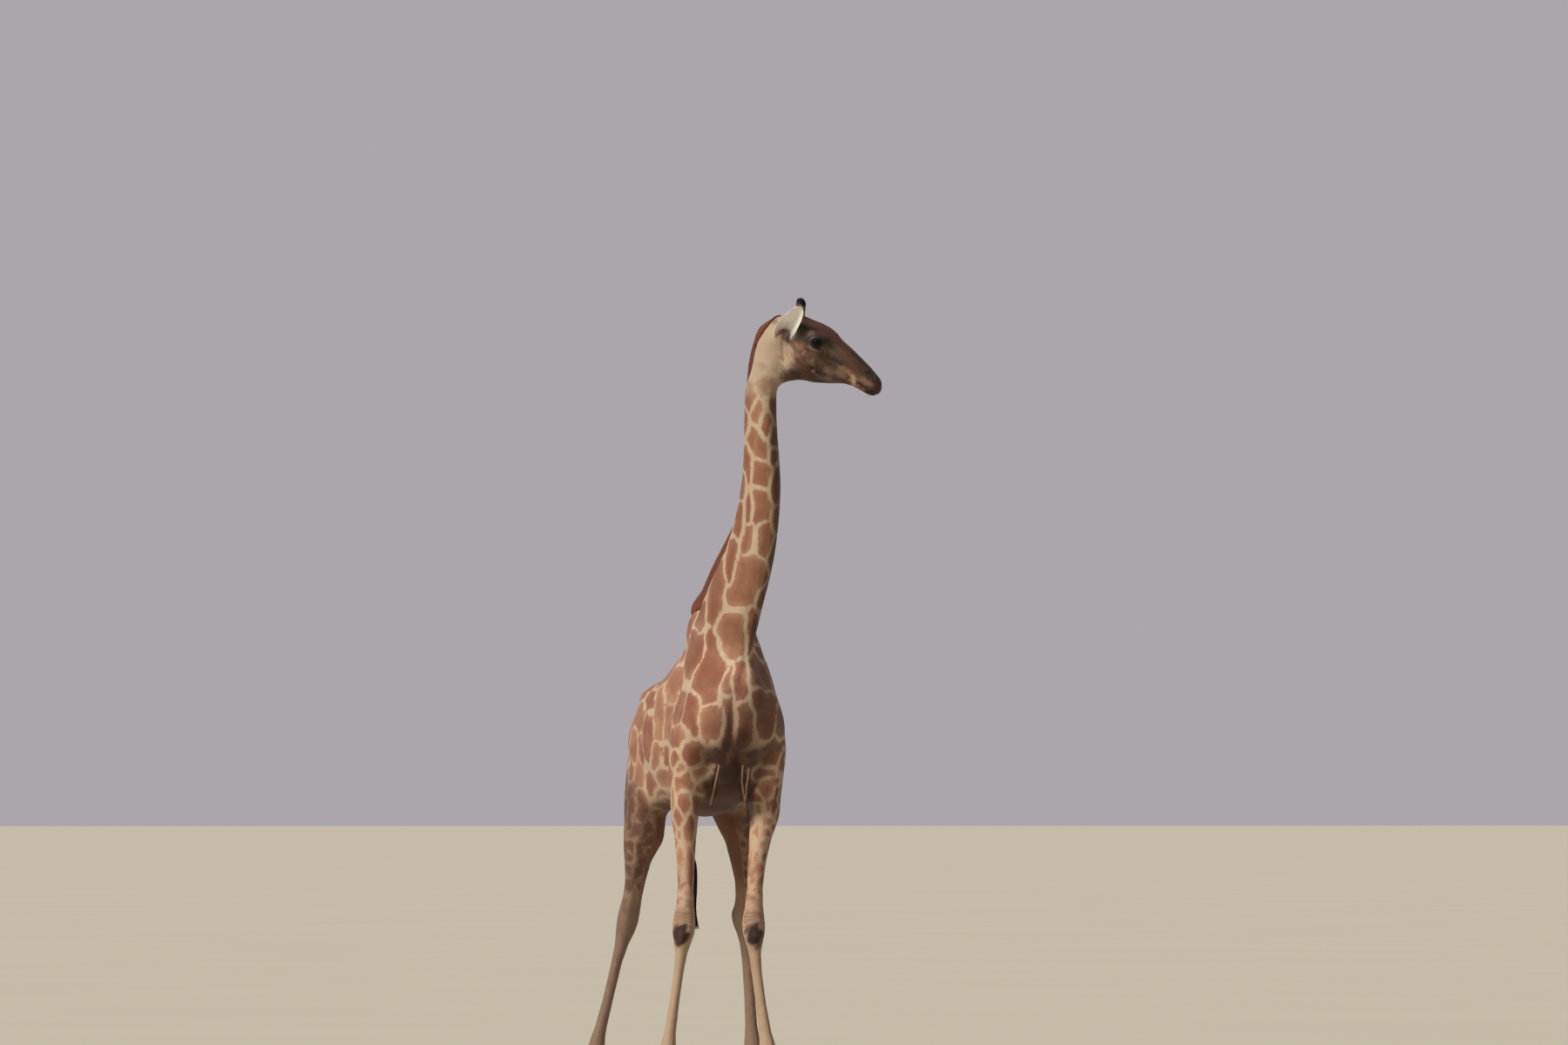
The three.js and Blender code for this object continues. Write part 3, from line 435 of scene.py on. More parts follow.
def eye_axes(side):
    """Towards the nose, up, and outward at an eye."""
    outward = unit(0.2 * FORWARD + side * 0.975 * LEFT - 0.07 * CROWN)
    nose = unit(FORWARD - dot(FORWARD, outward) * outward)
    upward = CROWN - dot(CROWN, outward) * outward
    return nose, unit(upward - dot(upward, nose) * nose), outward


def lid_edge(x, upper):
    share = np.clip(1 - (np.asarray(x) / OPENING[0]) ** 2, 0, 1)
    return OPENING[1] * share**0.62 if upper else -OPENING[2] * share**0.72


def lid_line(side, upper, radius, count=15, grow=1.0):
    """Points along the edge of an eyelid, on a ball around the eye."""
    nose, upward, outward = eye_axes(side)
    x = OPENING[0] * np.sin(np.linspace(-1, 1, count) * math.pi / 2)
    y = lid_edge(x, upper)
    x, y = x * grow, y * grow
    z = np.sqrt(np.maximum(radius**2 - x**2 - y**2, 1e-6))
    return middle(f"eye_{side_name(side)}") + x[:, None] * nose + y[:, None] * upward + z[:, None] * outward


def side_name(side):
    return "left" if side > 0 else "right"


def lids(side):
    place = middle(f"eye_{side_name(side)}")
    parts = [ball(place, LID_OUTER)]
    for upper in (True, False):
        parts.append(tube(lid_line(side, upper, EYE_RADIUS + 0.0022, grow=1.06), LID_RIM))
    return parts


def from_eye(points, side):
    """How far points lie from the middle of the eye's opening: 1 is the edge of the lids."""
    q = points - middle(f"eye_{side_name(side)}")
    nose, upward, outward = eye_axes(side)
    x, y, z = q @ nose, q @ upward, q @ outward
    high = np.where(y > 0, OPENING[1], OPENING[2])
    away = (np.abs(x / OPENING[0]) ** 2.4 + np.abs(y / high) ** 1.9) ** 0.5
    return np.where((z > 0.002) & (np.linalg.norm(q, axis=1) < 0.06), away, 9.0)


def open_eye(points, side):
    """Sinks the skin inside the lids behind the eyeball."""
    q = points - middle(f"eye_{side_name(side)}")
    opened = 1 - step(from_eye(points, side), 0.86, 1.02)
    reach = np.linalg.norm(q, axis=1)
    sunk = np.minimum(reach, SOCKET)
    return points + unit(q) * ((sunk - reach) * opened)[:, None]


MOUTH = [(0.640, 0.0, -0.046), (0.622, 0.026, -0.048), (0.585, 0.042, -0.046), (0.540, 0.044, -0.043),
         (0.500, 0.043, -0.040), (0.470, 0.043, -0.036)]
THROAT_FOLDS = [
    # dark folds where the throat meets the jaw, forward and up on the head
    [(0.121, -0.158), (0.160, -0.181), (0.188, -0.186)], [(0.124, -0.180), (0.150, -0.199), (0.173, -0.216)],
    [(0.125, -0.198), (0.143, -0.214), (0.162, -0.231)], [(0.124, -0.222), (0.142, -0.236), (0.158, -0.247)],
    [(0.100, -0.232), (0.118, -0.252), (0.130, -0.268)], [(0.136, -0.158), (0.168, -0.172), (0.196, -0.172)],
]
NOSTRIL = [(0.555, 0.043, 0.040), (0.575, 0.040, 0.034), (0.592, 0.034, 0.020)]


def mirrored(line, side):
    return [on_head(f, side * l, u) for f, l, u in line]


EAR_ROOT, EAR_TIP = (0.034, 0.086, -0.024), (0.070, 0.160, 0.189)
EAR_ROWS = np.array([
    # share of the length; half width and depth of the hollow, in metres
    (0.00, 0.026, 0.036), (0.12, 0.046, 0.036), (0.26, 0.057, 0.034), (0.50, 0.054, 0.028),
    (0.72, 0.045, 0.019), (0.88, 0.033, 0.010), (0.97, 0.018, 0.004), (1.00, 0.006, 0.001),
])


def ear_line(side):
    """The root and tip of an ear, the way it opens and the way across it."""
    root, tip = (on_head(f, side * l, u) for f, l, u in (EAR_ROOT, EAR_TIP))
    opening = 0.3 * FORWARD + side * LEFT - 0.1 * CROWN
    opening = unit(opening - dot(opening, unit(tip - root)) * unit(tip - root))
    return root, tip, opening, np.cross(unit(tip - root), opening)


def ear_shell(side, rows=64, half_ring=30):
    """An ear as a thin smooth shell, with fine ridges along its hollow."""
    root, tip, opening, wide = ear_line(side)
    share = np.linspace(0, 1, rows)
    half, hollow = (np.interp(share, EAR_ROWS[:, 0], EAR_ROWS[:, k]) for k in (1, 2))
    for _ in range(6):
        half, hollow = (np.convolve(np.pad(v, 1, "edge"), (0.25, 0.5, 0.25), "valid") for v in (half, hollow))
    w = np.sin(np.linspace(-1, 1, half_ring) * math.pi / 2)
    bowl = hollow[:, None] * (1 - w**2)
    ridges = 0.0012 * np.cos(w * 26) * step(1 - np.abs(w), 0.05, 0.2) * np.sin(share * math.pi)[:, None]
    thick = 0.0052 + 0.0035 * (1 - w**2) * (1 - share[:, None])
    deep = np.concatenate([bowl - ridges, (bowl + thick)[:, ::-1]], axis=1)
    sideways = np.concatenate([w, w[::-1]]) * half[:, None]
    along = share[:, None, None] * (tip - root)
    return loft(root + along + sideways[..., None] * wide - deep[..., None] * opening)


def fit_ears(points):
    """Moves the skin of the ears onto their exact shapes."""
    for side in SIDES.values():
        tree = solid_under(*ear_shell(side))
        root, tip, _, _ = ear_line(side)
        share = (points - root) @ (tip - root) / np.sum((tip - root) ** 2)
        for i in np.flatnonzero((share > 0.10) & (np.linalg.norm(points - (root + tip) / 2, axis=1) < 0.18)):
            hit, _, _, distance = tree.find_nearest(points[i].tolist(), 0.012)
            if hit is not None:
                weight = step(share[i], 0.12, 0.26) * (1 - step(distance, 0.007, 0.012))
                points[i] += (np.array(hit) - points[i]) * weight
    return points


def settle(line, tree):
    """Moves points onto the skin."""
    return [np.array(tree.find_nearest(p.tolist())[0]) for p in line]


def carve_side(points, outward, tree, side):
    """Bones, muscles, folds, mouth and nostril of one side of the head."""

    def rise(place, radii, height):
        swell(points, outward, mirrored([place], side)[0], radii, height)

    def groove(line, width, depth):
        press(points, outward, settle(mirrored(line, side), tree), width, depth)

    rise((0.205, 0.09, 0.10), (0.050, 0.04, 0.024), 0.004)  # brow
    rise((0.15, 0.08, 0.055), (0.035, 0.03, 0.026), -0.006)  # hollow of the temple
    rise((0.30, 0.07, 0.015), (0.055, 0.03, 0.012), 0.004)  # cheekbone
    rise((0.33, 0.06, -0.035), (0.060, 0.03, 0.022), -0.005)  # hollow under it
    rise((0.205, 0.08, -0.07), (0.050, 0.04, 0.050), 0.004)  # chewing muscle
    rise((0.36, 0.05, 0.055), (0.070, 0.03, 0.020), -0.003)  # side of the nose
    rise((0.585, 0.05, 0.005), (0.030, 0.02, 0.022), 0.003)  # pad of the upper lip
    rise((0.575, 0.04, -0.066), (0.034, 0.03, 0.014), 0.003)  # pad of the lower lip
    groove(MOUTH, 0.0042, 0.0062)
    groove([(0.470, 0.043, -0.036), (0.455, 0.045, -0.028)], 0.005, 0.004)
    groove(NOSTRIL, 0.0045, 0.0085)
    groove([(0.548, 0.046, 0.050), (0.575, 0.046, 0.047), (0.604, 0.038, 0.030)], 0.004, -0.0028)
    groove([(0.555, 0.049, 0.027), (0.575, 0.047, 0.020), (0.590, 0.042, 0.008)], 0.004, -0.0022)
    for k in range(5):  # rows of whiskers on the upper lip
        f = 0.522 + 0.015 * k
        groove([(f, 0.05, -0.008), (f + 0.004, 0.05, -0.034)], 0.0030, 0.0012)
    for k in range(2):  # folds over and under the eye
        drop = 0.004 * k
        groove(
            [(0.180, 0.1, 0.066 + drop), (0.205, 0.11, 0.088 + drop), (0.235, 0.11, 0.092 + drop),
             (0.262, 0.1, 0.078 + drop)], 0.0028, 0.0018,
        )
        groove(
            [(0.185, 0.1, 0.036 - drop), (0.215, 0.11, 0.022 - 2 * drop), (0.250, 0.11, 0.024 - 2 * drop),
             (0.270, 0.1, 0.036 - drop)], 0.0028, 0.0016,
        )
    groove([(0.252, 0.1, 0.048), (0.275, 0.09, 0.036), (0.292, 0.08, 0.022)], 0.005, 0.004)  # tear line
    for line in THROAT_FOLDS:
        groove([(f, 0.06, u) for f, u in line], 0.005, 0.0018)
    groove([(0.06, 0.09, -0.02), (0.085, 0.09, -0.07), (0.11, 0.08, -0.11)], 0.010, 0.004)  # back of the jaw


def carve_head(points, triangles):
    tree = solid_under(points, triangles)
    outward = normals(points, triangles)
    for side in SIDES.values():
        carve_side(points, outward, tree, side)
    return points


def make_head():
    """The head with ears, ossicones and lids, in a finer mesh, open at the neck."""
    head = split(*base, COLLAR, above=True, close=True)
    parts = [head]
    for name, side in SIDES.items():
        ossicone = merged(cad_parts[f"ossicone_{name}"].data)
        parts.append(reshaped(*ossicone, "SUBSURF", levels=2, render_levels=2))
        parts += [ear_shell(side), *lids(side)]
    points, triangles = largest(*one_skin(parts, HEAD_GRAIN))
    points = fit_ears(Web(triangles, len(points)).smooth(points, 4, 0.5))
    place = in_head(points)
    fine = np.zeros(len(points), bool)
    for name, side in SIDES.items():
        fine |= np.linalg.norm(points - middle(f"eye_{name}"), axis=1) < 0.045
    fine |= (place[:, 0] > 0.44) & (place[:, 2] < 0.075)
    points, triangles = refined(points, triangles, fine)
    points = Web(triangles, len(points)).smooth(points, 2, 0.5)
    points = carve_head(points, triangles)
    for side in SIDES.values():
        points = open_eye(points, side)
    return split(points, triangles, COLLAR + 0.006, above=True, close=False)


# ---------- the body ----------
# Places that show from the standpoint, as across and up in metres.
KNEE_PADS = [(-0.265, 0.859), (0.148, 0.857)]
ARMPIT_FOLDS = [
    [(-0.052, 1.800), (-0.079, 1.676), (-0.102, 1.577)],
    [(0.080, 1.800), (0.076, 1.711), (0.086, 1.642), (0.091, 1.577)],
    [(0.114, 1.785), (0.108, 1.731), (0.100, 1.666), (0.093, 1.606)],
]


def seen_line(line, tree, count=16):
    """A line drawn on the view laid on the skin."""
    share = np.linspace(0, len(line) - 1, count)
    across, up = (np.interp(share, range(len(line)), values) for values in zip(*line))
    return [p for p in (seen(a, u, tree) for a, u in zip(across, up)) if p is not None]


def knee_creases(across, up):
    """Wrinkles over a knee: the lowest is an arch round its pad."""
    for rise, arch, wave in ((0.068, 0.022, 0.002), (0.081, 0.012, -0.002), (0.093, 0.007, 0.003),
                             (0.106, 0.004, 0.001), (0.121, 0.003, -0.003)):
        yield [(across + x, up + rise - arch * (x / 0.055) ** 2 + wave * math.sin(60 * x + 40 * wave))
               for x in (-0.060, -0.045, -0.030, -0.015, 0.0, 0.015, 0.030, 0.045, 0.060)]


def on_pad(hide, across, up):
    """How far points lie from the middle of a knee's pad, which narrows downwards: 1 is its edge."""
    x, z = hide.view.T - [[across], [up]]
    away = np.hypot(x / (0.049 + 0.16 * np.clip(z, -0.1, 0.02)), z / 0.064)
    return np.where((hide.part("foreleg") > 0.5) & (hide.normal @ TOWARDS > -0.1), away, 9.0)


def carve_body(points, triangles):
    """Chest, folds of the armpits, wrinkled knees."""
    tree = solid_under(points, triangles)
    outward = normals(points, triangles)

    def groove(line, width, depth):
        press(points, outward, seen_line(line, tree), width, depth)

    groove([(0.030, 2.26), (0.020, 2.10), (0.022, 1.95), (0.030, 1.82)], 0.022, 0.012)  # down the chest
    groove([(-0.07, 2.15), (-0.06, 1.95), (-0.03, 1.84)], 0.050, -0.006)
    groove([(0.11, 2.15), (0.11, 1.95), (0.09, 1.84)], 0.050, -0.006)
    groove([(0.02, 2.46), (0.0, 2.30), (0.03, 2.20)], 0.018, 0.006)  # windpipe and shoulder
    groove([(0.10, 2.52), (0.09, 2.36), (0.05, 2.20)], 0.022, 0.008)
    for fold in ARMPIT_FOLDS:
        for aside in (-0.009, 0.009):
            groove([(across + aside, up) for across, up in fold], 0.0055, 0.005)
        groove(fold, 0.0045, -0.0045)
    for k in range(5):  # creases where the left foreleg leaves the chest
        across = 0.120 + 0.011 * k
        groove([(across, 1.72 - 0.012 * k), (across - 0.016, 1.61 - 0.015 * k)], 0.0040, 0.0022)
    for across, up in KNEE_PADS:
        pad = seen(across, up, tree)
        swell(points, outward, pad, (0.050, 0.055, 0.060), 0.006, (ACROSS, TOWARDS, UP))
        for line in knee_creases(across, up):
            groove(line, 0.0045, 0.0035)
    return points


def make_hide():
    body = split(*base, COLLAR, above=False, close=False)
    place = body[0] - GROUND
    chest = (place[:, 1] < 0.12) & (place[:, 2] > 1.5) & (place[:, 2] < 2.3) & (np.abs(place[:, 0]) < 0.25)
    knees = (place[:, 1] < 0.30) & (place[:, 2] > 0.80) & (place[:, 2] < 1.04)
    body = refined(*body, chest | knees)
    points = carve_body(*body)
    body = reshaped(points, body[1], "DECIMATE", ratio=BODY_TRIANGLES / len(body[1]))
    head = make_head()
    head = reshaped(*head, "DECIMATE", ratio=HEAD_TRIANGLES / len(head[1]))
    points, triangles = bridged(body, head)
    band = np.exp(-(((points[:, 2] - COLLAR) / 0.03) ** 2))
    return Web(triangles, len(points)).smooth(points, 8, 0.5 * band), triangles


hide_points, hide_faces = make_hide()


# ---------- parts of the hide ----------
REGIONS = ["trunk", "neck", "head", "tail", "foreleg_left", "foreleg_right", "hindleg_left", "hindleg_right",
           "ear_left", "ear_right", "ossicone_left", "ossicone_right"]


def nearest_region(points):
    """For each point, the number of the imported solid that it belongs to."""
    parts = [merged(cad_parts[name].data) for name in REGIONS]
    solids = solid_under(*joined(parts))
    owner = np.repeat(np.arange(len(parts)), [len(triangles) for _, triangles in parts])
    return np.array([owner[solids.find_nearest(p)[2]] for p in points.tolist()])


def centre_line(points, chosen, count):
    """Middles of a limb at evenly spread heights, from the bottom up."""
    q = points[chosen]
    levels = np.linspace(q[:, 2].min(), q[:, 2].max(), count + 1)
    slot = np.clip(np.searchsorted(levels, q[:, 2]) - 1, 0, count - 1)
    many = np.bincount(slot, minlength=count)
    filled = many > 0
    sums = np.stack([np.bincount(slot, q[:, k], count) for k in range(3)], axis=-1)
    return sums[filled] / many[filled, None]


def on_line(line, heights):
    """The point of a centre line, and its direction upwards, at each height."""
    slope = unit(np.gradient(line, axis=0))
    place = np.stack([np.interp(heights, line[:, 2], line[:, k]) for k in range(3)], axis=-1)
    return place, unit(np.stack([np.interp(heights, line[:, 2], slope[:, k]) for k in range(3)], axis=-1))


class Hide:
    """The hide's mesh, with what its colours and hair need at each point."""

    def __init__(self, points, triangles):
        self.points, self.triangles = points, triangles
        self.normal = normals(points, triangles)
        self.web = Web(triangles, len(points))
        self.tree = solid_under(points, triangles)
        owner = nearest_region(points)
        self.share = {}
        for k, name in enumerate(REGIONS):
            self.share[name] = self.web.smooth((owner == k).astype(float), 14)
        self.owner = owner
        self.head = in_head(points)
        self.place = points - GROUND
        self.view = np.stack([self.place @ ACROSS, self.place[:, 2]], axis=-1)
        self.lines = {name: centre_line(points, owner == REGIONS.index(name), 26)
                      for name in REGIONS if name.startswith(("neck", "fore", "hind", "tail"))}
        self.lie = self.comb()

    def part(self, *names):
        return np.clip(sum(self.share[n] for n in self.share if n.startswith(names)), 0, 1)

    def comb(self):
        """The direction in which the hair lies."""
        lie = np.zeros_like(self.points)
        for name, share in self.share.items():
            if name in self.lines:
                way = -on_line(self.lines[name], self.points[:, 2])[1]
            elif name.startswith("ear"):
                root, tip, _, _ = ear_line(SIDES[name.split("_")[1]])
                way = np.broadcast_to(unit(tip - root), lie.shape)
            elif name.startswith("ossicone"):
                way = np.broadcast_to(unit(0.8 * CROWN - 0.9 * FORWARD), lie.shape)
            elif name == "head":
                way = np.broadcast_to(unit(-FORWARD - 0.18 * CROWN), lie.shape)
            else:
                way = np.broadcast_to(unit([0, 0.8, -0.5]), lie.shape)
            lie += share[:, None] * way
        lie = self.web.smooth(unit(lie), 6)
        return unit(lie - dot(lie, self.normal)[:, None] * self.normal)


hide = Hide(hide_points, hide_faces)


# ---------- markings, and painted light and shade ---
# Patches on the side that shows: across and up, half width and half height in centimetres as seen
# from the standpoint, and how many degrees each leans to the right.
NECK_PATCHES = [
    (19.9, 392.2, 3.6, 5.0, 0), (20.9, 404.0, 3.4, 1.9, 0),
    (15.6, 377.4, 3.2, 5.5, 0), (21.3, 369.8, 3.0, 6.0, 0), (9.6, 372.6, 2.0, 6.5, 0),
    [(13.3, 362.5, 3.0, 6.0, 0), (18.4, 357.6, 3.6, 6.5, -12)], (10.4, 348.0, 2.8, 9.1, 0),
    (19.5, 342.8, 5.0, 7.1, -8), (7.6, 336.5, 2.2, 6.7, 0), (18.6, 324.6, 4.9, 9.1, 0),
    (10.6, 324.0, 2.2, 7.5, 0), (6.3, 316.7, 2.6, 8.5, 10), (9.8, 306.4, 2.7, 7.9, 10),
    (20.4, 307.3, 3.8, 9.7, 0), (25.2, 363.2, 2.6, 5.4, 0), (25.2, 352.1, 2.6, 4.6, 0),
    (27.2, 336.8, 3.2, 9.7, 0), (27.3, 316.7, 3.0, 7.4, 0), (1.9, 294.3, 3.5, 10.3, 8),
    (25.6, 294.9, 3.6, 10.3, 0),
    [(10.7, 283.7, 9.1, 12.1, 0), (6.8, 275.5, 7.3, 5.5, 0), (18.3, 284.6, 3.6, 9.1, 0)],
    (-7.2, 276.7, 4.1, 15.8, 8), (-14.8, 277.9, 2.1, 6.7, 20), (-15.7, 263.3, 3.0, 7.9, 12),
    (-22.3, 257.3, 2.7, 10.9, 18), [(1.6, 254.2, 8.5, 9.1, 0), (2.5, 245.8, 4.2, 4.9, 0)],
    (13.2, 256.1, 3.5, 11.5, 6), (19.2, 272.8, 3.0, 10.3, 8),
]
TRUNK_PATCHES = [
    (-19.9, 242.1, 6.1, 12.1, 12),
    [(-9.0, 247.6, 3.0, 7.3, 0), (-11.4, 231.8, 7.9, 11.5, 0), (-11.2, 219.7, 4.9, 5.5, 0)],
    (-29.9, 225.1, 6.1, 9.1, 18), (-35.7, 229.4, 2.2, 6.7, 25), (0.1, 226.3, 3.0, 8.5, 0),
    (7.2, 227.5, 4.0, 10.3, 0), (16.7, 231.8, 5.5, 9.7, -12), (17.5, 244.5, 2.4, 6.7, -10),
    (-43.0, 217.8, 2.7, 6.1, 5), (-38.3, 210.0, 2.9, 13.3, 0), (-49.6, 206.9, 2.8, 7.9, 8),
    (-33.6, 204.5, 2.8, 9.1, 5), (-27.2, 212.4, 3.2, 8.5, 8), (-20.8, 208.7, 4.1, 10.3, -5),
    (-8.0, 203.3, 6.8, 9.1, 0), (0.1, 205.7, 3.3, 15.2, 0), (9.5, 202.7, 4.4, 11.5, 0),
    [(21.0, 214.8, 6.8, 6.1, 0), (21.0, 203.3, 4.6, 7.9, 15)],
    (-28.6, 196.0, 4.6, 5.6, 0), (-44.2, 195.4, 3.9, 11.5, 0), (-52.4, 191.7, 2.5, 9.1, 0),
    (-19.1, 187.1, 5.1, 6.6, 0), (-7.2, 185.1, 4.9, 5.1, 0), (24.8, 189.3, 6.3, 7.9, 15),
    (13.1, 183.3, 4.9, 5.1, 0), (-40.5, 184.5, 4.9, 7.3, -15), (-34.7, 185.1, 3.0, 5.5, 0),
    (-29.6, 183.5, 2.4, 4.4, 0), (-26.6, 177.8, 3.0, 3.6, 0), (-36.3, 174.2, 4.9, 5.1, -25),
    (-42.4, 169.9, 3.8, 6.7, -25), (-15.7, 174.8, 5.5, 3.4, 0), (18.9, 175.7, 6.3, 3.5, 0),
    (30.1, 183.9, 2.2, 6.7, 0), (-38.1, 165.0, 3.6, 3.0, -30),
]
LEG_PATCHES = [
    (-23.5, 159.0, 3.4, 6.7, -8), (-27.8, 151.5, 2.9, 5.5, -15), (-30.5, 160.8, 1.6, 6.7, 0),
    (-20.5, 144.2, 2.8, 6.7, 5), (-26.6, 141.0, 1.8, 3.2, 0), (-26.9, 129.9, 2.2, 4.5, 0),
    (-20.8, 128.6, 1.9, 5.5, 0), (-27.2, 120.1, 1.9, 4.0, 0), (-27.5, 112.6, 1.8, 3.2, 0),
    (-20.9, 116.5, 1.6, 4.6, 0), (26.5, 165.7, 3.0, 2.8, 0), (24.4, 157.5, 4.2, 4.0, 0),
    (15.3, 157.2, 1.9, 2.7, 0), (20.8, 150.2, 2.9, 3.4, 10), (24.4, 146.8, 2.8, 3.9, 0),
    (15.3, 144.4, 2.4, 3.2, 0), (18.3, 137.7, 2.2, 3.3, 10), (15.0, 130.8, 2.5, 2.7, 0),
    (22.0, 135.9, 1.6, 4.2, 0), (15.9, 122.8, 2.8, 3.3, 0), (14.1, 116.3, 2.2, 3.2, 0),
    (19.2, 115.3, 1.5, 3.6, 0), (-54.1, 177.2, 2.7, 5.8, 0), (-55.3, 166.3, 2.8, 5.1, 0),
    (-47.6, 159.0, 3.3, 9.1, 0), (-53.6, 157.5, 2.9, 4.2, 0), (-56.1, 149.3, 2.4, 4.9, 0),
    (-50.5, 144.2, 4.2, 3.8, 0), (-55.3, 135.9, 3.5, 3.6, 0), (-49.6, 132.9, 3.0, 3.3, 0),
    (-56.3, 123.8, 3.0, 3.6, 0), (-50.2, 121.4, 3.0, 3.6, 0), (-55.1, 112.9, 3.0, 3.6, 0),
]


class Patches:
    """Seeds of the markings. Each has a metric in which its patch is a ball of radius 1."""

    def __init__(self):
        self.centres, self.metrics, self.group, self.reach, self.tone = [], [], [], [], []
        self.groups = 0

    def add(self, centre, axes, sizes, reach, new=True):
        """Adds a seed: of a new patch, or to the last one, which then is their outline together."""
        if new:
            self.groups += 1
            self.last_tone = rng.random()
        self.centres.append(centre)
        self.metrics.append(np.asarray(axes) / np.asarray(sizes)[:, None])
        self.group.append(self.groups - 1)
        self.reach.append(reach)
        self.tone.append(self.last_tone)

    def measured(self, points):
        """Squared distances from points to every seed, each in its own metric."""
        centres, metrics = np.array(self.centres), np.array(self.metrics)
        square = np.einsum("sij,sik->sjk", metrics, metrics)
        out = np.empty((len(points), len(centres)))
        for k, (c, m) in enumerate(zip(centres, square)):
            q = points - c
            out[:, k] = np.einsum("ij,ij->i", q @ m, q)
        return out


def place_seen(patches, rows, depth, reach, tree):
    for row in rows:
        for k, (across, up, wide, high, lean) in enumerate(row if isinstance(row, list) else [row]):
            hit = seen(across / 100, up / 100, tree)
            if hit is None:
                continue
            angle = math.radians(lean)
            side = math.cos(angle) * ACROSS - math.sin(angle) * UP
            along = math.sin(angle) * ACROSS + math.cos(angle) * UP
            patches.add(hit, [side, along, TOWARDS], [wide / 100, high / 100, depth], reach, new=k == 0)


def spacing(hide):
    """How far apart the other patches lie: widest on the trunk, closest down the legs."""
    height = hide.place[:, 2]
    legs = hide.part("foreleg", "hindleg")
    size = np.full(len(height), 0.155)
    size = size + (0.105 - size) * hide.part("neck") * step(height, 2.9, 3.5)
    size = size + (0.125 - size) * hide.part("neck") * (1 - step(height, 2.9, 3.5))
    size = size + (0.062 + 0.055 * step(height, 1.25, 1.75) - size) * legs
    belly = step(-hide.normal[:, 2], 0.5, 0.9) * hide.part("trunk")
    return size + (0.10 - size) * belly


def fill_in(patches, hide):
    """Patches everywhere else, at random but evenly spread."""
    size = spacing(hide)
    bare = (hide.part("head", "ear", "ossicone", "tail") > 0.3) | (hide.place[:, 2] < 1.08)
    bare |= hide.place[:, 2] > 3.80
    taken = np.sqrt(patches.measured(hide.points).min(axis=1)) < 1.75
    order = rng.permutation(np.flatnonzero(~(bare | taken)))
    chosen = np.empty((0, 3))
    for i in order:
        p = hide.points[i]
        if len(chosen) and np.min(np.sum((chosen - p) ** 2, axis=1)) < size[i] ** 2:
            continue
        chosen = np.vstack([chosen, p])
        along = hide.lie[i]
        axes = [np.cross(hide.normal[i], along), along, hide.normal[i]]
        long = 1.0 + 0.45 * hide.share["neck"][i] + 0.1 * rng.random()
        half = 0.50 * size[i] * rng.uniform(0.88, 1.12)
        reach = 1.45 - 0.33 * hide.part("foreleg", "hindleg")[i] * (1 - step(hide.place[i, 2], 1.4, 1.7))
        patches.add(p, axes, [half / math.sqrt(long), half * long, half * 1.3], reach)


def wandering(points, size, amount, waves=7):
    """The points moved by a smooth random field, so that what is drawn from them wanders."""
    shift = np.zeros_like(points)
    for _ in range(waves):
        turn = 2 * math.pi / (size * rng.uniform(0.7, 1.4))
        phase = points @ unit(rng.normal(size=3)) * turn + rng.uniform(0, 2 * math.pi)
        shift += np.sin(phase)[:, None] * rng.normal(size=3)
    return points + shift * amount / math.sqrt(waves)


def markings_at(points, patches):
    """How far each point lies from the middle of a gap and inside its patch's own edge, and the
    patch's tone."""
    centres, metrics = np.array(patches.centres), np.array(patches.metrics)
    group, reach, tone = np.array(patches.group), np.array(patches.reach), np.array(patches.tone)
    d = np.sqrt(patches.measured(points))
    rows = np.arange(len(points))
    first = np.argmin(d, axis=1)
    others = np.where(group[None, :] == group[first][:, None], 99.0, d)
    second = np.argmin(others, axis=1)

    def slope(k):
        q = np.einsum("nij,nj->ni", metrics[k], points - centres[k])
        return np.einsum("nij,ni->nj", metrics[k], q) / np.maximum(d[rows, k], 1e-6)[:, None]

    a, b = slope(first), slope(second)
    steep = np.maximum(np.linalg.norm(b - a, axis=1), 0.45 * np.linalg.norm(a, axis=1))
    gap = (others[rows, second] - d[rows, first]) / steep
    inner = np.einsum("nij,nj->ni", metrics[first], points - centres[first])
    squarish = np.sum(inner**4, axis=1) ** 0.25
    inside = (reach[first] - squarish) / np.maximum(np.linalg.norm(a, axis=1), 1e-6)
    return gap, inside, tone[first]


def mark(hide):
    """Lays all the patches and finds where each point of the hide lies among them."""
    patches = Patches()
    place_seen(patches, NECK_PATCHES, 0.10, 1.24, hide.tree)
    place_seen(patches, TRUNK_PATCHES, 0.17, 1.22, hide.tree)
    place_seen(patches, LEG_PATCHES, 0.06, 1.14, hide.tree)
    fill_in(patches, hide)
    places = wandering(wandering(hide.points, 0.15, 0.012), 0.055, 0.004)
    places += (hide.points - places) * 0.5 * hide.share["neck"][:, None]
    batch = 12000
    found = [markings_at(places[start : start + batch], patches) for start in range(0, len(places), batch)]
    return [np.concatenate(values) for values in zip(*found)]


def colour(red, green, blue):
    """A colour as painters give it, 0 to 255, in the linear values that materials use."""
    c = np.array([red, green, blue]) / 255
    return np.where(c <= 0.04045, c / 12.92, ((c + 0.055) / 1.055) ** 2.4)


CREAM = colour(206, 183, 156)
TAN = colour(170, 126, 99)
RUST = colour(148, 97, 76)


def blend(under, over, share):
    return under + (np.asarray(over) - under) * np.clip(share, 0, 1)[:, None]


def spot(place, centre, radii):
    """1 at a centre, falling softly to 0 outside the radii."""
    q = (place - np.asarray(centre)) / np.asarray(radii)
    return np.exp(-(np.sum(q**2, axis=1) ** 1.5))


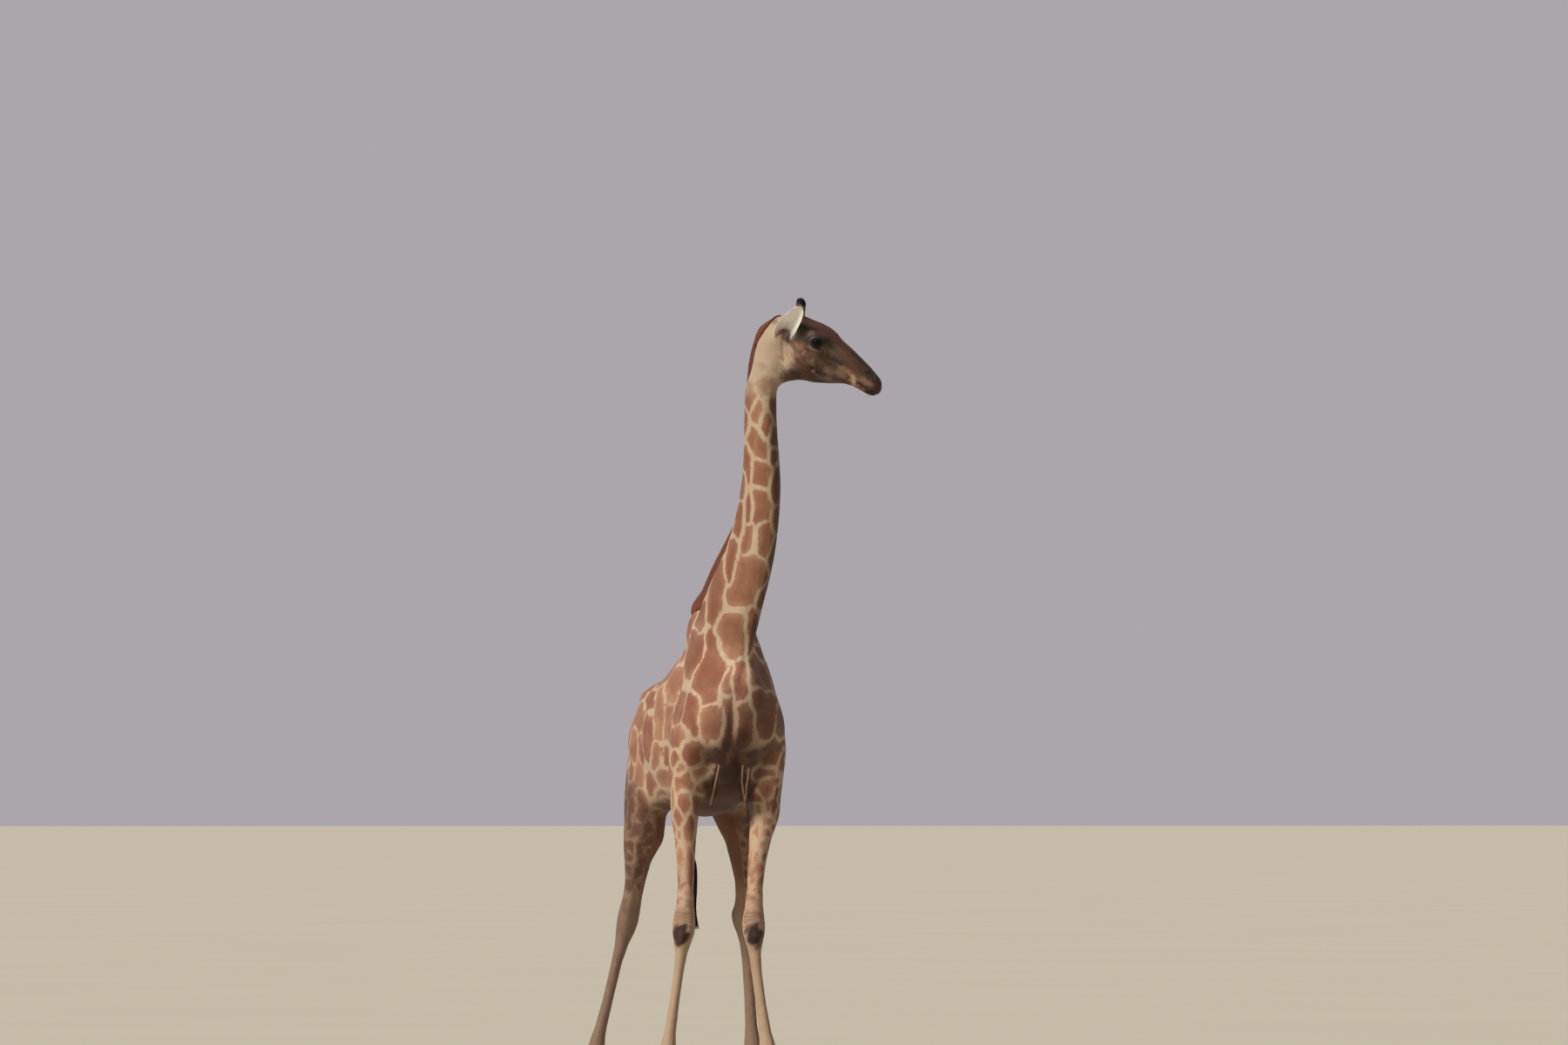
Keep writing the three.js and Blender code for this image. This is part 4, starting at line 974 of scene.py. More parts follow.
def inner_side(hide):
    """1 on the sides of the hind legs that face each other."""
    return hide.part("hindleg") * step(-np.sign(hide.place[:, 0]) * hide.normal[:, 0], 0.05, 0.5)


def belly(hide):
    """1 under the trunk."""
    return hide.part("trunk") * step(-hide.normal[:, 2], 0.65, 0.95)


def blotches(points, size, axis=0):
    """A smooth random field between -2 and 2."""
    return np.clip((wandering(points, size, 1.0) - points)[:, axis], -2, 2)


class Tones:
    """The colours of the ground and of the patches, laid one over another."""

    def __init__(self, ground, patch):
        self.ground, self.patch = ground, patch

    def lay(self, share, ground=None, patch=None):
        """Lays colours over a share of the hide, each given as red, green, blue and strength."""
        if ground:
            self.ground = blend(self.ground, colour(*ground[:3]), ground[3] * share)
        if patch:
            self.patch = blend(self.patch, colour(*patch[:3]), patch[3] * share)


def paint_legs(hide, tones):
    """Ground that darkens down the body, paler patches on the forelegs and dark hind legs, partly painted
    shade below the hocks, with brown painted shade where the hind legs face each other."""
    height = hide.place[:, 2]
    fore, hind = hide.part("foreleg"), hide.part("hindleg")
    legs = hide.part("foreleg", "hindleg")
    tones.lay(1 - step(height, 1.9, 2.6), ground=(198, 170, 142, 1))
    tones.lay(legs * (1 - step(height, 1.3, 1.7)), ground=(198, 168, 140, 1))
    tones.lay(legs * (1 - step(height, 0.7, 1.1)), ground=(182, 154, 128, 1))
    tones.lay(hind * step(height, 1.0, 1.2) * (1 - step(height, 1.60, 1.95)), ground=(142, 110, 88, 1))
    # partly painted shade: the hind legs darker below the hocks
    tones.lay(hind * (1 - step(height, 1.0, 1.25)), ground=(136, 109, 90, 1))
    tones.lay(fore * (1 - step(height, 1.3, 1.6)), patch=(176, 128, 98, 1))
    tones.lay(hind * (1 - step(height, 1.60, 1.95)), patch=(106, 72, 54, 1))
    # painted shade on the sides of the hind legs that face each other
    tones.lay(inner_side(hide) * step(height, 0.9, 1.2), ground=(112, 69, 44, 0.9))


def paint_underside_shade(hide, tones):
    """The low chest with darker patches, partly painted shade; painted shade under the belly; and painted
    shade between the forelegs, over skin that is darker there too.
    """
    legs = hide.part("foreleg", "hindleg")
    # darker patches low on the chest, partly painted shade
    low_chest_shade = spot(hide.place, (0, 0.1, 1.83), (0.26, 0.42, 0.14)) * (1 - legs)
    tones.lay(low_chest_shade, patch=(118, 76, 57, 0.8))
    # painted shade under the belly
    tones.lay(belly(hide), ground=(128, 96, 72, 1))
    # painted shade between the forelegs, over skin that is darker there too
    brisket_shade = hide.part("trunk") * spot(hide.place, (0, 0, 1.62), (0.20, 0.30, 0.24))
    brisket_shade = np.clip(1.5 * brisket_shade, 0, 1) * step(-hide.normal[:, 1] - 2 * hide.normal[:, 2], -0.2, 0.6)
    tones.lay(brisket_shade, ground=(84, 62, 48, 0.9), patch=(62, 44, 34, 0.9))


def paint_side_light_and_shade(hide, tones):
    """Painted light and shade on neck, shoulder, forelegs and chest: painted shade on the sides away from the
    key light, on the animal's left; the neck's lit side, on its right, painted in a paler tone; painted shade
    with darker patches down the middle of the chest.
    """
    left = hide.normal @ ACROSS
    neck, trunk = hide.share["neck"], hide.share["trunk"]
    # painted shade: the neck darker where it faces away from the key light
    tones.lay(neck * step(left, 0.25, 0.75), ground=(128, 100, 82, 0.85), patch=(78, 52, 41, 0.9))
    # painted light: a tone of its own for the lit side of the neck
    tones.lay(neck * step(-left, 0.45, 0.85), ground=(182, 150, 124, 0.5), patch=(134, 86, 64, 0.6))
    # painted shade on trunk and forelegs where they face away from the key light
    deep = np.clip(trunk * step(left, 0.3, 0.8) + hide.part("foreleg") * step(left, 0.2, 0.7), 0, 1)
    tones.lay(deep, ground=(160, 128, 104, 0.6), patch=(98, 65, 50, 0.7))
    # painted shade, with darker patches, down the middle of the chest
    chest = spot(hide.view, (0.04, 2.0), (0.13, 0.24)) * step(hide.normal @ TOWARDS, 0.2, 0.6)
    chest = chest * (1 - hide.part("foreleg", "hindleg"))
    tones.lay(chest, ground=(150, 118, 96, 0.7), patch=(88, 58, 45, 0.8))


def paint_hollow_shade(hide, tones):
    """Painted shade in the armpits, under the trunk and in the furrow down the chest, with pale painted
    highlights along the cords of the armpit folds.
    """
    height, legs = hide.place[:, 2], hide.part("foreleg", "hindleg")
    front = step(-hide.place[:, 1], -0.45, -0.25) * np.clip(hide.part("trunk") + 0.8 * legs, 0, 1)
    half = 0.034 + 0.080 * (1 - step(height, 1.62, 1.88))
    # painted shade in the armpits and over the chest between the forelegs
    armpit_shade = front * (1 - step(np.abs(hide.view[:, 0] - 0.012), half, half + 0.035))
    armpit_shade = armpit_shade * (1 - step(height, 1.88, 2.0)) * (1 - legs * (1 - step(height, 1.42, 1.60)))
    tones.lay(armpit_shade, ground=(62, 43, 32, 0.95), patch=(42, 29, 22, 0.95))
    # painted shade under the trunk
    low = np.maximum(step(-hide.normal[:, 2], 0.30, 0.70), 1 - step(height, 1.58, 1.66))
    under = low * hide.part("trunk") * (1 - step(hide.place[:, 1], 0.85, 1.25))
    under = under * (1 - step(np.abs(hide.place[:, 0]), 0.14, 0.27))
    tones.lay(under, ground=(72, 40, 22, 0.9), patch=(60, 34, 20, 0.9))
    # painted shade in the furrow down the chest
    furrow = beside(hide.points, seen_line([(0.0, 2.08), (0.006, 1.94), (0.01, 1.80)], hide.tree), 0.022)
    tones.lay(furrow, ground=(112, 80, 62, 0.8), patch=(84, 56, 43, 0.7))
    # pale painted highlight along the ridges of the armpit folds
    for fold in ARMPIT_FOLDS:
        cord_highlight = beside(hide.points, seen_line(fold, hide.tree), 0.0050)
        tones.lay(cord_highlight, ground=(196, 156, 126, 0.95), patch=(196, 156, 126, 0.95))


def paint_knees(hide, tones, mottle):
    """Dark knee pads with the wrinkles above them, and painted shade in the creases."""
    for across, up in KNEE_PADS:
        wrinkled = spot(hide.view, (across, up + 0.11), (0.060, 0.060)) * hide.part("foreleg")
        tones.lay(wrinkled, ground=(154, 120, 98, 0.7))
        for line in knee_creases(across, up):
            # painted shade in the creases over the knee
            crease_shade = beside(hide.points, seen_line(line, hide.tree), 0.0048)
            tones.lay(crease_shade, ground=(118, 88, 72, 0.45))
        away = on_pad(hide, across, up) + 0.12 * mottle
        tones.lay(1 - step(away, 0.95, 1.25), ground=(104, 76, 66, 0.8))
        tones.lay(1 - step(away, 0.72, 1.02), ground=(64, 44, 38, 1))
        tones.lay(1 - step(away, 0.15, 0.60), ground=(88, 62, 54, 0.9))


def patch_edge(hide, gap, inside, faded):
    """How far inside its patch each point lies, below 0 where the hide is plain ground."""
    height, legs = hide.place[:, 2], hide.part("foreleg", "hindleg")
    broad = step(-hide.normal @ UP + hide.normal @ TOWARDS, 0.3, 0.9) * hide.share["trunk"]
    thin = 0.0085 + 0.0018 * hide.share["neck"] + 0.002 * legs + 0.0035 * broad
    edge = np.minimum(gap - thin, inside - 0.4 * thin) * (1 - 0.75 * faded)
    plain = np.maximum(legs * (1 - step(height, 1.0, 1.12)), step(height, 4.0, 4.04))
    plain = np.maximum(plain, hide.part("tail", "ear", "ossicone", "head"))
    plain = np.maximum(plain, 0.7 * belly(hide))
    plain = np.maximum(plain, inner_side(hide) * (1 - step(height, 1.5, 1.8)))
    return edge - 0.12 * np.clip(plain, 0, 1)


def paint(hide):
    """The colour of the ground between patches, of the patches, and where the markings fade."""
    gap, inside, tone = mark(hide)
    height = hide.place[:, 2]
    mottle = blotches(hide.points, 0.045)
    cloud = blotches(hide.points, 0.16)
    tone = np.clip(tone + 0.16 * cloud * hide.part("neck", "trunk", "foreleg"), 0, 1)
    tones = Tones(np.broadcast_to(CREAM, hide.points.shape), TAN + (RUST - TAN) * tone[:, None] ** 1.3)
    paint_legs(hide, tones)
    paint_underside_shade(hide, tones)
    paint_side_light_and_shade(hide, tones)
    paint_hollow_shade(hide, tones)
    paint_knees(hide, tones, mottle)
    coronet = hide.part("foreleg", "hindleg") * (1 - step(height, 0.10, 0.16))
    tones.lay(coronet, ground=(120, 98, 80, 1))
    faded = step(height, 3.78, 3.84)
    tones.lay(faded, patch=(160, 130, 104, 0.9))
    return paint_head(hide, tones.ground), tones.patch, patch_edge(hide, gap, inside, faded)


FACE = [
    # forward and up on the head, their radii, colour, strength: broad tones first, spots last
    ((0.360, 0.060), (0.120, 0.050), (90, 68, 58), 0.8),  # side of the nose
    ((0.300, 0.062), (0.040, 0.024), (88, 72, 64), 0.8),
    ((0.378, 0.073), (0.045, 0.022), (101, 75, 61), 0.8),
    ((0.440, 0.060), (0.040, 0.026), (88, 61, 47), 0.8),
    ((0.502, 0.062), (0.040, 0.026), (61, 44, 33), 0.8),
    ((0.258, 0.147), (0.035, 0.026), (80, 54, 44), 0.8),  # forehead
    ((0.203, 0.156), (0.048, 0.026), (94, 67, 56), 0.8),
    ((0.126, 0.145), (0.035, 0.020), (98, 69, 58), 0.8),
    ((0.172, 0.101), (0.042, 0.026), (86, 72, 64), 0.9),  # brow
    ((0.122, 0.084), (0.040, 0.034), (65, 54, 46), 1.0),  # temple
    ((0.092, 0.034), (0.034, 0.026), (59, 47, 39), 0.9),
    ((0.262, 0.095), (0.030, 0.034), (45, 38, 29), 1.0),  # before the eye
    ((0.325, 0.105), (0.040, 0.018), (72, 52, 38), 0.8),
    ((0.140, -0.005), (0.036, 0.026), (142, 104, 81), 0.9),  # cheek
    ((0.204, -0.062), (0.040, 0.030), (104, 68, 51), 0.9),
    ((0.232, -0.014), (0.034, 0.020), (106, 78, 62), 0.8),
    ((0.288, -0.036), (0.028, 0.028), (121, 89, 71), 0.8),
    ((0.310, -0.004), (0.030, 0.016), (90, 68, 52), 0.8),
    ((0.148, -0.057), (0.028, 0.034), (146, 110, 88), 0.9),
    ((0.112, -0.084), (0.034, 0.034), (180, 152, 127), 0.9),
    ((0.088, -0.093), (0.016, 0.018), (180, 142, 114), 0.8),
    ((0.142, -0.112), (0.032, 0.026), (186, 162, 136), 0.9),
    ((0.250, -0.107), (0.042, 0.026), (86, 62, 49), 0.8),  # jaw
    ((0.330, -0.094), (0.055, 0.020), (75, 53, 38), 0.8),
    ((0.346, -0.046), (0.034, 0.024), (131, 104, 87), 0.9),
    ((0.384, -0.018), (0.022, 0.018), (81, 63, 52), 0.9),
    ((0.422, -0.030), (0.034, 0.022), (144, 113, 97), 0.9),
    ((0.403, -0.086), (0.075, 0.012), (117, 90, 79), 0.8),
    ((0.275, 0.021), (0.034, 0.011), (65, 49, 36), 1.0),  # dark band under the cheekbone
    ((0.328, 0.017), (0.034, 0.011), (63, 49, 32), 1.0),
    ((0.385, 0.015), (0.036, 0.011), (63, 52, 38), 1.0),
    ((0.227, 0.019), (0.036, 0.006), (115, 94, 79), 0.9),  # pale arcs round the eye
    ((0.481, 0.018), (0.030, 0.012), (101, 63, 43), 0.9),
    ((0.512, 0.024), (0.030, 0.014), (67, 43, 30), 0.9),
    ((0.560, 0.046), (0.034, 0.030), (46, 38, 32), 1.0),  # top of the muzzle
    ((0.598, 0.018), (0.022, 0.022), (50, 35, 27), 0.9),
    ((0.548, -0.018), (0.042, 0.018), (112, 81, 62), 0.9),  # lips
    ((0.548, -0.060), (0.030, 0.014), (131, 98, 76), 0.9),
    ((0.600, -0.056), (0.028, 0.014), (70, 48, 34), 1.0),
    ((0.634, -0.020), (0.022, 0.030), (70, 47, 32), 0.9),
    ((0.123, 0.100), (0.034, 0.024), (44, 40, 36), 1.0),  # between ear and eye
    ((0.135, 0.052), (0.050, 0.026), (62, 51, 42), 1.0),
    ((0.078, 0.002), (0.028, 0.014), (48, 32, 29), 1.0),
    ((0.180, 0.086), (0.018, 0.014), (104, 84, 76), 0.9),
    ((0.212, 0.108), (0.026, 0.016), (46, 40, 34), 0.9),
    ((0.172, 0.036), (0.026, 0.012), (52, 42, 35), 0.9),
    ((0.229, 0.170), (0.040, 0.014), (98, 50, 36), 0.8),
    ((0.117, 0.143), (0.026, 0.014), (98, 64, 56), 0.8),
    ((0.175, -0.112), (0.026, 0.018), (112, 88, 78), 0.8),
    ((0.205, -0.150), (0.042, 0.024), (76, 52, 41), 0.9),  # throat
    ((0.160, -0.190), (0.034, 0.024), (88, 60, 48), 0.8),
    ((0.186, -0.033), (0.007, 0.007), (171, 135, 112), 0.9),  # pale spots on the cheek
    ((0.194, -0.013), (0.006, 0.006), (166, 135, 115), 0.9),
    ((0.250, -0.042), (0.012, 0.013), (158, 124, 101), 0.8),
    ((0.282, -0.086), (0.008, 0.009), (196, 163, 141), 0.9),
    ((0.018, -0.186), (0.036, 0.018), (163, 130, 107), 0.6),  # nape
    ((-0.037, 0.063), (0.026, 0.016), (135, 101, 86), 0.8),
]
FACE_LINES = [
    # lines on the face: forward and up on the head, half width, colour, strength
    ([(0.430, 0.098), (0.480, 0.086), (0.539, 0.068), (0.592, 0.042), (0.620, 0.014)],
     0.015, (44, 29, 24), 0.8),
    ([(0.535, 0.036), (0.556, 0.024), (0.578, 0.010)], 0.010, (34, 28, 22), 0.85),
    ([(0.440, 0.030), (0.475, 0.024), (0.505, 0.012)], 0.012, (104, 62, 44), 0.6),
    ([(0.400, -0.006), (0.440, -0.004), (0.470, -0.016), (0.498, -0.030)], 0.012, (166, 130, 104), 0.7),
    ([(0.492, -0.024), (0.502, -0.040), (0.508, -0.060)], 0.015, (204, 166, 132), 0.8),
    ([(0.618, -0.004), (0.622, -0.030), (0.612, -0.055)], 0.022, (66, 41, 31), 0.8),
    ([(0.565, 0.028), (0.590, 0.018), (0.610, 0.000)], 0.012, (54, 38, 29), 0.7),
    ([(0.535, -0.012), (0.575, -0.016), (0.600, -0.012)], 0.010, (140, 104, 86), 0.7),
    ([(0.520, -0.038), (0.560, -0.044), (0.600, -0.047), (0.625, -0.048)], 0.0060, (42, 27, 21), 0.9),
    ([(0.535, -0.064), (0.570, -0.066)], 0.008, (134, 96, 74), 0.7),
    ([(0.590, -0.060), (0.610, -0.060)], 0.010, (50, 32, 24), 0.8),
    ([(0.250, -0.080), (0.320, -0.079), (0.390, -0.078), (0.440, -0.066)], 0.0055, (58, 38, 28), 0.75),
    ([(0.300, -0.101), (0.360, -0.102), (0.420, -0.092)], 0.008, (128, 99, 84), 0.7),
    ([(0.330, -0.012), (0.352, -0.030), (0.362, -0.050)], 0.008, (84, 64, 58), 0.7),
    ([(0.262, 0.046), (0.300, 0.046), (0.330, 0.040)], 0.012, (116, 92, 82), 0.7),
    ([(0.370, 0.062), (0.400, 0.056), (0.430, 0.046)], 0.012, (108, 68, 54), 0.7),
    # painted highlight on the upper lid, behind and over the eye
    ([(0.180, 0.045), (0.188, 0.060), (0.200, 0.073), (0.217, 0.0875)], 0.0022, (122, 112, 106), 0.6),
    ([(0.200, 0.020), (0.215, 0.012), (0.232, 0.012)], 0.0040, (140, 116, 98), 0.7),
    ([(0.125, -0.020), (0.140, -0.034), (0.160, -0.040)], 0.007, (104, 66, 48), 0.6),
    ([(0.205, -0.030), (0.232, -0.052), (0.262, -0.060)], 0.007, (150, 116, 94), 0.5),
    ([(0.165, -0.066), (0.182, -0.084), (0.205, -0.094)], 0.008, (84, 52, 40), 0.6),
]


def ear_ridges(points):
    """1 in the furrows that run up the hollow of an ear, 0 on the ridges between."""
    furrow = np.zeros(len(points))
    for side in SIDES.values():
        root, tip, _, wide = ear_line(side)
        q = points - root
        near = np.linalg.norm(points - (root + tip) / 2, axis=1) < 0.16
        share = np.clip(q @ unit(tip - root) / np.linalg.norm(tip - root), 0, 1)
        w = (q @ wide) / np.interp(share, EAR_ROWS[:, 0], EAR_ROWS[:, 1])
        furrow = np.where(near, 0.5 + 0.5 * np.cos(w * 26 + 3.1), furrow)
    return furrow


def paint_head(hide, ground):
    """The colours of the face, ears and ossicones, laid over the ground."""
    f, l, u = hide.head.T
    head = hide.part("head", "ossicone")
    wander = wandering(hide.points, 0.030, 1.0) - hide.points
    flat = np.stack([f, u], axis=-1) + 0.0035 * wander[:, :2] * (1 - hide.part("ear"))[:, None]

    def dab(ground, share, rgb):
        return blend(ground, colour(*rgb), share * head)

    nape = step(hide.place[:, 2], 3.80, 3.95) * (1 - hide.part("ear"))
    head = np.maximum(head, nape)
    ground = blend(ground, colour(186, 162, 137), nape)
    ground = dab(ground, step(f - 0.075 * step(-u, -0.01, 0.05), 0.045, 0.10), (86, 64, 50))  # face
    for centre, radii, rgb, strength in FACE:
        ground = dab(ground, strength * spot(flat, centre, radii), rgb)
    # painted shade along the throat folds
    for line in THROAT_FOLDS:
        ground = dab(ground, 0.8 * beside(flat, line, 0.0045), (74, 50, 40))
    blotch = np.clip(0.5 * (wander[:, 2] + (wandering(hide.points, 0.013, 1.0) - hide.points)[:, 2]), -1, 1)
    ground = ground * (1 + 0.30 * blotch * head * step(f, 0.04, 0.10))[:, None]
    ridge = step(u - np.interp(f, [0.1, 0.3, 0.5, 0.62], [0.115, 0.10, 0.055, 0.02]), -0.012, 0.014)
    ground = dab(ground, 0.7 * ridge * step(f, 0.07, 0.14), (86, 50, 40))
    ear = hide.part("ear")
    ground = blend(ground, colour(255, 249, 238), ear * step(u, -0.04, 0.02))
    # painted shade in the furrows of the ear's hollow
    furrows = ear * ear_ridges(hide.points) * (1 - step(u, 0.05, 0.11))
    ground = blend(ground, colour(190, 164, 148), 0.6 * furrows)
    # brownish-pink skin at the foot of the ear, with painted shade in its hollow and under the ear
    ear_hollow_shade = np.clip(ear + step(np.abs(l), 0.060, 0.075), 0, 1)
    ground = blend(ground, colour(150, 112, 102), 0.85 * ear_hollow_shade * spot(flat, (0.036, 0.016), (0.028, 0.034)))
    ground = blend(ground, colour(92, 62, 57), 0.95 * ear_hollow_shade * spot(flat, (0.046, 0.018), (0.018, 0.030)))
    horn = hide.part("ossicone")
    ground = blend(ground, colour(150, 104, 82), horn * step(u, 0.11, 0.14))
    for side in SIDES.values():
        away = from_eye(hide.points, side)
        # dark lid skin at the eye, spread wider by painted shade round it
        ground = blend(ground, colour(24, 20, 17), 1 - step(away, 1.35, 2.15))
        ground = blend(ground, colour(10, 9, 9), 1 - step(away, 1.25, 1.65))
        corner = middle(f"eye_{side_name(side)}") - 0.036 * eye_axes(side)[0] - 0.004 * CROWN
        ground = blend(ground, colour(14, 12, 12), 0.95 * spot(hide.points, corner, (0.022, 0.022, 0.012)))
    for line, width, rgb, strength in FACE_LINES:
        ground = dab(ground, strength * beside(flat, line, width), rgb)
    return ground


# ---------- finishes ----------
class Value:
    """A socket's value, so that sums of sockets are written as sums."""

    def __init__(self, nodes, socket):
        self.nodes, self.socket = nodes, socket

    def _math(self, operation, *values):
        return self.nodes.node("ShaderNodeMath", dict(operation=operation), *values)

    def __add__(self, other):
        return self._math("ADD", self, other)

    def __radd__(self, other):
        return self._math("ADD", other, self)

    def __sub__(self, other):
        return self._math("SUBTRACT", self, other)

    def __rsub__(self, other):
        return self._math("SUBTRACT", other, self)

    def __mul__(self, other):
        return self._math("MULTIPLY", self, other)

    def __rmul__(self, other):
        return self._math("MULTIPLY", other, self)


class Nodes:
    """A node tree."""

    def __init__(self, tree):
        self.tree = tree

    def node(self, kind, settings, *values, output=0, at=None, **named):
        """Adds a node: first its settings, then the values or links of its sockets, which are
        given in their order, at their numbers or by their names."""
        node = self.tree.nodes.new(kind)
        for key, value in settings.items():
            setattr(node, key, value)
        sockets = list(zip(node.inputs, values))
        sockets += [(node.inputs[number], value) for number, value in (at or {}).items()]
        sockets += [(node.inputs[key.replace("_", " ")], value) for key, value in named.items()]
        for socket, value in sockets:
            self.feed(socket, value)
        return Value(self, node.outputs[output])

    def feed(self, socket, value):
        """Sets a socket, or links it to another one."""
        if isinstance(value, Value):
            self.tree.links.new(value.socket, socket)
        elif socket.type == "RGBA":
            socket.default_value = (*value, 1)
        else:
            socket.default_value = value


class Finish(Nodes):
    """A material and its nodes."""

    def __init__(self, name, **constants):
        self.material = bpy.data.materials.new(name)
        self.material.use_nodes = True
        super().__init__(self.material.node_tree)
        self.shader = self.tree.nodes["Principled BSDF"]
        self.set(**constants)

    def set(self, **inputs):
        for key, value in inputs.items():
            self.feed(self.shader.inputs[key.replace("_", " ")], value)

    def attribute(self, name, output="Fac"):
        return self.node("ShaderNodeAttribute", dict(attribute_name=name), output=output)

    def place(self):
        return self.node("ShaderNodeTexCoord", {}, output="Object")

    def noise(self, vector, scale, detail=3.0, roughness=0.5):
        return self.node(
            "ShaderNodeTexNoise", {}, Vector=vector, Scale=scale, Detail=detail, Roughness=roughness
        )

    def stretched(self, vector, scale, turn=(0, 0, 0)):
        return self.node("ShaderNodeMapping", {}, vector, (0, 0, 0), turn, scale)

    def between(self, value, low, high, least=0.0, most=1.0):
        return self.node(
            "ShaderNodeMapRange", dict(interpolation_type="SMOOTHSTEP"), value, low, high, least, most
        )

    def mix(self, share, first, second, way="MIX"):
        settings = dict(data_type="RGBA", blend_type=way)
        return self.node("ShaderNodeMix", settings, at={0: share, 6: first, 7: second}, output=2)

    def scaled(self, rgb, factor):
        return self.node("ShaderNodeVectorMath", dict(operation="SCALE"), rgb, Scale=factor)

    def bump(self, height, strength, distance):
        return self.node("ShaderNodeBump", {}, Strength=strength, Distance=distance, Height=height)


def hide_finish():
    """Short hair: cream ground, brown patches with ragged edges, fine streaks along the hair."""
    finish = Finish("short_coat", Roughness=0.72, Specular_IOR_Level=0.25,
                    Sheen_Weight=0.08, Sheen_Roughness=0.5)
    place = finish.place()
    ragged = finish.noise(place, 26.0, 3.0, 0.6) - 0.5
    fine = finish.noise(place, 150.0, 2.0) - 0.5
    inside = finish.attribute("edge") + ragged * 0.020 + fine * 0.006
    share = finish.between(inside, -0.0045, 0.0060)
    cloud = finish.noise(place, 14.0, 4.0, 0.6)
    downward = finish.noise(finish.stretched(place, (420, 420, 55)), 1.0, 2.0)
    backward = finish.noise(finish.stretched(place, (420, 55, 420)), 1.0, 2.0)
    facial = finish.noise(finish.stretched(place, (60, 460, 460), (0, HEAD_PITCH, 0)), 1.0, 2.0)
    streak = downward + (backward - downward) * finish.attribute("level")
    streak = streak + (facial - streak) * finish.attribute("face")
    core = finish.between(inside, 0.004, 0.045)
    patched = finish.scaled(finish.attribute("patch", "Color"), cloud * 0.5 + 0.85)
    patched = finish.mix(core * 0.5, patched, colour(205, 178, 168), "MULTIPLY")
    between = finish.scaled(finish.attribute("ground", "Color"), cloud * 0.24 + 0.88)
    hair = finish.mix(share, between, patched)
    marble = finish.between(finish.noise(place, 19.0, 4.0, 0.6), 0.40, 0.66) * finish.attribute("marble")
    hair = finish.mix(marble, hair, finish.attribute("marbling", "Color"))
    shade = (streak * 0.28 + 0.86) * finish.attribute("shade")
    finish.set(Base_Color=finish.scaled(hair, shade))
    finish.set(Normal=finish.bump(streak + fine * 0.4, 0.5, 0.0022))
    return finish.material


short_coat = hide_finish()


# ---------- hair as solid locks ----------
def locks(lines, across, over, half_width, thickness):
    """Closed pointed locks. lines holds each one's root, bends and tip; its section is a low
    triangle, given at every point but the tip."""
    count, rows = len(lines), lines.shape[1] - 1
    half_width = np.broadcast_to(half_width, (count, rows))[..., None]
    thickness = np.broadcast_to(thickness, (count, rows))[..., None]
    body = lines[:, :rows]
    ring = np.stack([
        body + across[:, None] * half_width,
        body - across[:, None] * half_width,
        body + over[:, None] * thickness,
    ], axis=2).reshape(count, rows * 3, 3)
    points = np.concatenate([ring, lines[:, -1:]], axis=1)
    faces = [(0, 1, 2)]
    for row in range(rows - 1):
        for a, b in ((0, 1), (1, 2), (2, 0)):
            a, b = a + 3 * row, b + 3 * row
            faces += [(a, a + 3, b), (b, a + 3, b + 3)]
    last, tip = 3 * (rows - 1), 3 * rows
    faces += [(last, tip, last + 1), (last + 1, tip, last + 2), (last + 2, tip, last)]
    faces = np.array(faces)
    a, b, c = (points[:, faces[:, k]] - lines[:, :1] for k in range(3))
    outward = np.sum(np.cross(a, b) * c, axis=(1, 2)) > 0
    each = np.where(outward[:, None, None], faces, faces[:, ::-1])
    each = each + (np.arange(count) * (tip + 1))[:, None, None]
    along = np.concatenate([np.repeat(np.arange(rows) / rows, 3), [1.0]])
    return points.reshape(-1, 3), each.reshape(-1, 3), np.tile(along, count), tip + 1


def put(mesh, name, values):
    """Stores a number or a colour at each point of a mesh."""
    values = np.asarray(values, np.float32)
    if values.ndim == 1:
        mesh.attributes.new(name, "FLOAT", "POINT").data.foreach_set("value", values)
    else:
        rgba = np.concatenate([values, np.ones((len(values), 1), np.float32)], axis=1)
        mesh.attributes.new(name, "FLOAT_COLOR", "POINT").data.foreach_set("color", rgba.ravel())


def put_coat(mesh, fields):
    for name, values in fields.items():
        put(mesh, name, values)


def coat_fields(hide):
    """What the coat's finish reads at each point of the hide."""
    height, fore = hide.place[:, 2], hide.part("foreleg")
    ground, patch, edge = paint(hide)
    level = hide.share["trunk"] * step(np.abs(hide.lie[:, 1]), 0.5, 0.8)
    hind = hide.part("hindleg") + 0.5 * hide.share["trunk"] * step(hide.place[:, 1], 0.95, 1.1)
    marble = 0.8 * hind * (1 - inner_side(hide)) * (0.35 + 0.65 * step(height, 0.85, 1.25))
    marble = marble * (1 - step(height, 1.60, 1.90)) * step(height, 0.3, 0.6)
    marble = marble + 0.8 * fore * spot(hide.place * [0, 0, 1], (0, 0, 1.10), (1, 1, 0.17))
    marbling = np.broadcast_to(colour(92, 70, 58), hide.points.shape)
    marbling = blend(marbling, colour(150, 100, 76), fore)
    for across, up in KNEE_PADS:
        pad = 1 - step(on_pad(hide, across, up), 0.75, 1.15)
        marble = np.maximum(marble, 0.8 * pad)
        marbling = blend(marbling, colour(48, 33, 29), pad)
    return dict(ground=ground, patch=patch, edge=edge, face=hide.part("head"), level=level,
                marble=marble, marbling=marbling)


FIELDS = coat_fields(hide)


